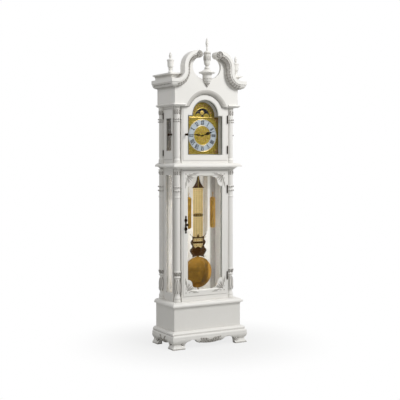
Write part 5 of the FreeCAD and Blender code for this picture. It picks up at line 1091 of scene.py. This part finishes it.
# %% [markdown]
# The numerals are built from strokes, as an engraver cuts them: thick downstrokes, thin upstrokes and a
# serif bar at both ends. Each numeral is set out on a flat line first, then turned to its hour, with its
# foot to the centre.

# %% Numerals and minute track
RING_Y = -41.4
NUMERAL_MID_R = 96.0
NUMERAL_H = 30.0
THICK = 5.0
THIN = 2.4
SERIF_SHARE = 0.92
INK_T = 0.5
INK_SINK = 0.1
LEAN_RUN = 8.0
# Width of each letter, and the offset, lean and weight of its strokes.
STROKES = {"I": (7.0, [(0, 0, THICK)]), "V": (15.0, [(-4.0, 0.9, THICK), (4.0, -0.9, THIN)]),
           "X": (15.0, [(0, 0.95, THICK), (0, -0.95, THIN)])}
HOURS = ["XII", "I", "II", "III", "IIII", "V", "VI", "VII", "VIII", "IX", "X", "XI"]
TRACK_R = 117.5
MARK_H = 5.0
MINUTE_MARK_W = 1.1
HOUR_MARK_W = 2.4


def add_bar(form, x, z, width, height, lean, turn):
    bar = add_block(form, (x, 0, z), (width, INK_T, height))
    for vert in bar:
        vert.co.x += lean * LEAN_RUN * (vert.co.z - z) / height
    bmesh.ops.rotate(form, cent=(0, 0, 0), matrix=Matrix.Rotation(turn, 3, "Y"), verts=bar)
    bmesh.ops.translate(form, vec=(0, RING_Y - INK_T / 2 + INK_SINK, DIAL_MID), verts=bar)


ink = bmesh.new()
for hour, word in enumerate(HOURS):
    turn = math.tau * hour / len(HOURS)
    x = -sum(STROKES[letter][0] for letter in word) / 2
    for letter in word:
        width, strokes = STROKES[letter]
        for offset, lean, weight in strokes:
            add_bar(ink, x + width / 2 + offset, NUMERAL_MID_R, weight, NUMERAL_H, -lean, turn)
        for end in (-0.5, 0.5):
            add_bar(ink, x + width / 2, NUMERAL_MID_R + NUMERAL_H * end, width * SERIF_SHARE, THIN, 0, turn)
        x += width
for minute in range(60):
    mark_w = MINUTE_MARK_W if minute % 5 else HOUR_MARK_W
    add_bar(ink, 0, TRACK_R, mark_w, MARK_H, 0, math.tau * minute / 60)
# Wax rubbed into an engraving is a soft black with greyer flecks where it has shrunk.
numeral_black, *_ = mottled("engraved_black_wax", "#16171B", "#2A2C33", 4, 0.45, detail=2.0)
finish_piece(ink, "dial_numerals", "case", numeral_black, crease=30)

# %% [markdown]
# The ring is bordered by thin gilt beads, the same as the edge of the moon window. A small circle is spun
# round the dial's centre, which is the quickest way to a torus of any sweep. A moulded bar parts the arch
# from the square.

# %% Gilt borders
HALF_TURN = -math.pi
# Radius and thickness of the hoops round the ring.
RING_HOOPS = ((122.0, 1.6), (113.0, 0.5), (80.0, 0.5), (71.0, 1.8))
RING_HOOP_Y = -41.2
# Middle, radius, thickness and steps of the two arches.
ARCH_HOOPS = ((1718.0, 65.0, 1.8, 36), (DIAL_ARCH_MID, 102.0, 1.6, 48))
ARCH_HOOP_Y = -40.4
PARTING_BAR_AT = (0.0, -41.0, 1712.0)
PARTING_BAR_SIZE = (278.0, 4.0, 9.0)
PARTING_BAR_EDGE_R = 1.5


def add_hoop(form, y, mid_z, radius, thick, steps=72, sweep=math.tau):
    hoop = sweep_ring(form, thick, Matrix.Translation((radius, 0, 0)), (0, 1, 0), sweep, steps, sides=8,
                      closed=sweep == math.tau)
    bmesh.ops.translate(form, vec=(0, y, mid_z), verts=hoop)


# Burnished gilt is smooth enough to throw small sharp glints.
bright_gilt = worked_metal("burnished_gilt", "#CDB468", "#A98B42", 18, EVEN, 0.22, 0.36, 0.10)
borders = bmesh.new()
for radius, thick in RING_HOOPS:
    add_hoop(borders, RING_HOOP_Y, DIAL_MID, radius, thick)
for hoop in ARCH_HOOPS:
    add_hoop(borders, ARCH_HOOP_Y, *hoop, sweep=HALF_TURN)
soften(borders, add_block(borders, PARTING_BAR_AT, PARTING_BAR_SIZE), PARTING_BAR_EDGE_R)
finish_piece(borders, "dial_gilt_borders", "case", bright_gilt, crease=40)

# %% [markdown]
# Cast spandrels fill the corners of the dial, rays of leaves the arch, and a rosette of flat leaves the
# middle. All are laid out with the same leaves as the carving, only lower, and finished in a redder gilt.

# %% Dial ornaments
CASTING_Y = -40.0
CASTING_DEPTH = 4.0
CASTING_CORNER = (132.0, 130.0)
CASTING_BEAD_R = 4.0
CASTING_BEAD_IN = 6.0
# Angle, length and width of each leaf of a spandrel.
CORNER_ROOT = 4.0
CORNER_LEAVES = ((45, 36, 12), (18, 30, 9), (72, 30, 9), (2, 44, 7), (88, 44, 7))
ARCH_LEAF_ANGLES = range(20, 170, 16)
ARCH_LEAF_R = 72.0
ARCH_LEAF = (24.0, 13.0)
# Radius, length and count of the rosette's leaves, which leave the two winding holes free.
MIDDLE_LEAVES = ((22.0, 22.0, 12), (44.0, 18.0, 16))
MIDDLE_WIDTH = 8.0
MIDDLE_DEPTH = 3.0
WINDING_SIDE = 30.0
WINDING_BAND = (-36.0, -8.0)


def by_winding_hole(spot):
    return abs(spot.x) > WINDING_SIDE and WINDING_BAND[0] < spot.z - DIAL_MID < WINDING_BAND[1]


# A gilt casting with copper in it looks rosy beside the plate, and shines in small soft spots.
rose_gilt = worked_metal("rose_gilt_casting", "#B08A5C", "#84603A", 9, EVEN, 0.30, 0.45, 0.25)
castings = bmesh.new()
for side in (-1, 1):
    for end in (-1, 1):
        corner = Vector((side * CASTING_CORNER[0], CASTING_Y, DIAL_MID + end * CASTING_CORNER[1]))
        for angle, length, width in CORNER_LEAVES:
            ray = facing_ray(math.radians(angle))
            way = Vector((-side * ray.x, 0, -end * ray.z))
            add_leaf(castings, corner + way * CORNER_ROOT, corner + way * length, forward, width,
                     CASTING_DEPTH)
        add_bead(castings, corner - Vector((side, 0, end)) * CASTING_BEAD_IN, CASTING_BEAD_R)
for angle in ARCH_LEAF_ANGLES:
    ray = facing_ray(math.radians(angle))
    root = Vector((0, CASTING_Y, DIAL_ARCH_MID)) + ray * ARCH_LEAF_R
    add_leaf(castings, root, root + ray * ARCH_LEAF[0], forward, ARCH_LEAF[1], CASTING_DEPTH)
for radius, length, leaves in MIDDLE_LEAVES:
    for leaf in range(leaves):
        ray = facing_ray(math.tau * (leaf + 0.5) / leaves)
        root = Vector((0, CASTING_Y, DIAL_MID)) + ray * radius
        if not by_winding_hole(root):
            add_leaf(castings, root, root + ray * length, forward, MIDDLE_WIDTH, MIDDLE_DEPTH)
finish_piece(castings, "dial_castings", "case", rose_gilt)

# %% [markdown]
# The moon disc carries two plain gilt moons, half a turn apart, and small stars between. They ride on the
# disc, so the moon sets behind one hump and rises behind the other when the disc is turned. Stars set out
# by the golden angle fall evenly without looking like a pattern, and those under a moon are left out.

# %% Moons and stars
DISC_MID = Vector((0, -37.2, 1712.0))
MOON_ORBIT = 36.0
MOON_R = 17.0
MOON_CLEAR = 20.0
MOON_FLAT = 0.04
STARS = 34
STAR_R = 1.1
STAR_FLAT = 0.4
STAR_NEAR = 18.0
STAR_SPREAD = 50.0
GOLDEN_ANGLE = 2.399963
GOLDEN_SHARE = 0.618


def add_dome(form, spot, radius, flat, sides, rings):
    dome = bmesh.ops.create_uvsphere(form, u_segments=sides, v_segments=rings, radius=radius)["verts"]
    bmesh.ops.scale(form, vec=(1, flat, 1), verts=dome)
    bmesh.ops.translate(form, vec=spot, verts=dome)


moons = bmesh.new()
moon_spots = [DISC_MID + upward * MOON_ORBIT, DISC_MID - upward * MOON_ORBIT]
for spot in moon_spots:
    add_dome(moons, spot, MOON_R, MOON_FLAT, sides=24, rings=12)
for index in range(STARS):
    reach = STAR_NEAR + STAR_SPREAD * ((index * GOLDEN_SHARE) % 1.0)
    spot = DISC_MID + facing_ray(index * GOLDEN_ANGLE) * reach
    if min((spot - moon).length for moon in moon_spots) > MOON_CLEAR:
        add_dome(moons, spot, STAR_R, STAR_FLAT, sides=6, rings=4)
finish_piece(moons, "gilt_moons_and_stars", "moon", bright_gilt)

# %% [markdown]
# A narrow gilt rib runs up the middle of the crown on the pendulum, and a row of studs closes the clasp
# below it. A sheet of matted gilt behind the lattice keeps its holes gold instead of white.

# %% Pendulum trim
TRIM_Y = 21.0
RIB_AT = (0.0, TRIM_Y, 1228.0)
RIB_SIZE = (4.0, 2.0, 92.0)
STUDS_X = (-26, -9, 9, 26)
STUD_Z = 975.0
STUD_R = 5.0
SHEET_AT = (0.0, 29.1, 941.0)
SHEET_SIZE = (84.0, 0.8, 470.0)
SHEET_EDGE_R = 0.3
trim = bmesh.new()
add_block(trim, RIB_AT, RIB_SIZE)
for x in STUDS_X:
    add_bead(trim, (x, TRIM_Y, STUD_Z), STUD_R, sides=10)
finish_piece(trim, "pendulum_trim", "pendulum", bright_gilt)

# Matted gilt has been stippled dull, so it glows evenly and mirrors nothing.
matted_gilt = worked_metal("matted_gilt_backing", "#CDB47A", "#A68C58", 12, EVEN, 0.45, 0.60, 0.30)
backing = bmesh.new()
soften(backing, add_block(backing, SHEET_AT, SHEET_SIZE), SHEET_EDGE_R)
finish_piece(backing, "lattice_backing", "pendulum", matted_gilt, crease=30)

# %% [markdown]
# The stage is a pale floor that fades to white away from the clock. Lighting a real floor until it is white
# would bleach the clock too. Instead the camera, and what it sees through glass, is shown white, while the
# floor that lights the clock stays a plain grey and keeps the shadow at its feet.

# %% Floor
FLOOR_HALF = 30.0
FLOOR_CLOUD_MM = 400.0
SHADOW_NEAR = 0.3
SHADOW_FAR = 1.1
NEAR_WHITE = 0.80
floor_form = bmesh.new()
bmesh.ops.create_grid(floor_form, x_segments=1, y_segments=1, size=FLOOR_HALF)
floor_mesh = bpy.data.meshes.new("studio_floor")
floor_form.to_mesh(floor_mesh)
floor_form.free()
floor = bpy.data.objects.new("studio_floor", floor_mesh)
bpy.context.scene.collection.objects.link(floor)


def add_seen(tree, rays):
    return add_node(tree, "ShaderNodeMath", {0: rays["Is Camera Ray"], 1: rays["Is Transmission Ray"]},
                    operation="MAXIMUM").outputs["Value"]


# Painted board is a dull pale grey with hardly a mark, so the eye passes over it.
floor_paint, tree, shader, place = mottled("pale_floor", "#BEBEBC", "#B6B6B4", FLOOR_CLOUD_MM, 0.9,
                                           detail=2.0)
seen = add_seen(tree, add_node(tree, "ShaderNodeLightPath").outputs)
away = add_node(tree, "ShaderNodeVectorMath", {0: place}, operation="LENGTH")
clear = add_node(tree, "ShaderNodeMapRange", {"Value": away.outputs["Value"], "From Min": SHADOW_NEAR,
                                              "From Max": SHADOW_FAR, "To Min": NEAR_WHITE, "To Max": 1.0},
                 interpolation_type="SMOOTHSTEP")
share = add_node(tree, "ShaderNodeMath", {0: seen, 1: clear.outputs["Result"]}, operation="MULTIPLY")
white = add_node(tree, "ShaderNodeEmission", {"Color": colour("#FFFFFF"), "Strength": 1.0})
both = add_node(tree, "ShaderNodeMixShader", {"Fac": share.outputs["Value"], 1: shader.outputs["BSDF"],
                                              2: white.outputs["Emission"]})
tree.links.new(both.outputs["Shader"], tree.nodes["Material Output"].inputs["Surface"])
floor_mesh.materials.append(floor_paint)
print("floor:", floor_paint.name)

# %% [markdown]
# The studio round the clock is an even white. It is shown at full strength to the eye and to what shines,
# and gives less than half of that as light, so that the lamps can still model the mouldings.

# %% White studio
STUDIO_LIGHT = 0.40
world = bpy.data.worlds.new("white_studio")
bpy.context.scene.world = world
world.use_nodes = True
tree = world.node_tree
tree.nodes.clear()
rays = add_node(tree, "ShaderNodeLightPath").outputs
shown = add_node(tree, "ShaderNodeMath", {0: add_seen(tree, rays), 1: rays["Is Glossy Ray"]},
                 operation="MAXIMUM")
level = add_node(tree, "ShaderNodeMapRange", {"Value": shown.outputs["Value"], "To Min": STUDIO_LIGHT,
                                              "To Max": 1.0})
sky = add_node(tree, "ShaderNodeBackground", {"Color": colour("#FFFFFF"),
                                              "Strength": level.outputs["Result"]})
add_node(tree, "ShaderNodeOutputWorld", {"Surface": sky.outputs["Background"]})
print("world:", world.name)

# %% [markdown]
# One large soft lamp stands in front, to the right and high, so the front is bright, the left side lies in
# a soft grey shade and every moulding has a shadow under it. A weak lamp high on the left keeps that shade
# from closing up. As a photographer would, two narrow lamps are hidden behind the door stiles to open up
# the inside of the trunk.

# %% Lamps
STRIP_SIZE = (0.03, 0.80)
STRIP_AT = (0.172, -0.060, 0.85)
# Name, side, watts and aim of each strip.
STRIPS = (("left_strip_lamp", -1, 0.6, (0.24, 0.12, 0.85)), ("right_strip_lamp", 1, 0.9, (0.05, 0.16, 0.85)))


def add_lamp(name, size, watts, place, target):
    lamp_data = bpy.data.lights.new(name, "AREA")
    lamp_data.shape = "RECTANGLE"
    lamp_data.size, lamp_data.size_y = size
    lamp_data.energy = watts
    lamp = bpy.data.objects.new(name, lamp_data)
    bpy.context.scene.collection.objects.link(lamp)
    lamp.location = place
    lamp.rotation_mode = "QUATERNION"
    lamp.rotation_quaternion = (Vector(target) - lamp.location).to_track_quat("-Z", "Y")
    lamp.visible_camera = False
    print(name, "of", watts, "W")
    return lamp


add_lamp("soft_window", size=(1.8, 1.8), watts=138.0, place=(1.5, -3.3, 4.2), target=(0.0, 0.0, 1.3))
add_lamp("left_fill", size=(1.0, 1.0), watts=8.0, place=(-2.2, -0.6, 3.4), target=(-0.25, 0.0, 1.9))
for name, side, watts, aim in STRIPS:
    strip = add_lamp(name, STRIP_SIZE, watts, (side * STRIP_AT[0], *STRIP_AT[1:]), aim)
    strip.visible_glossy = False
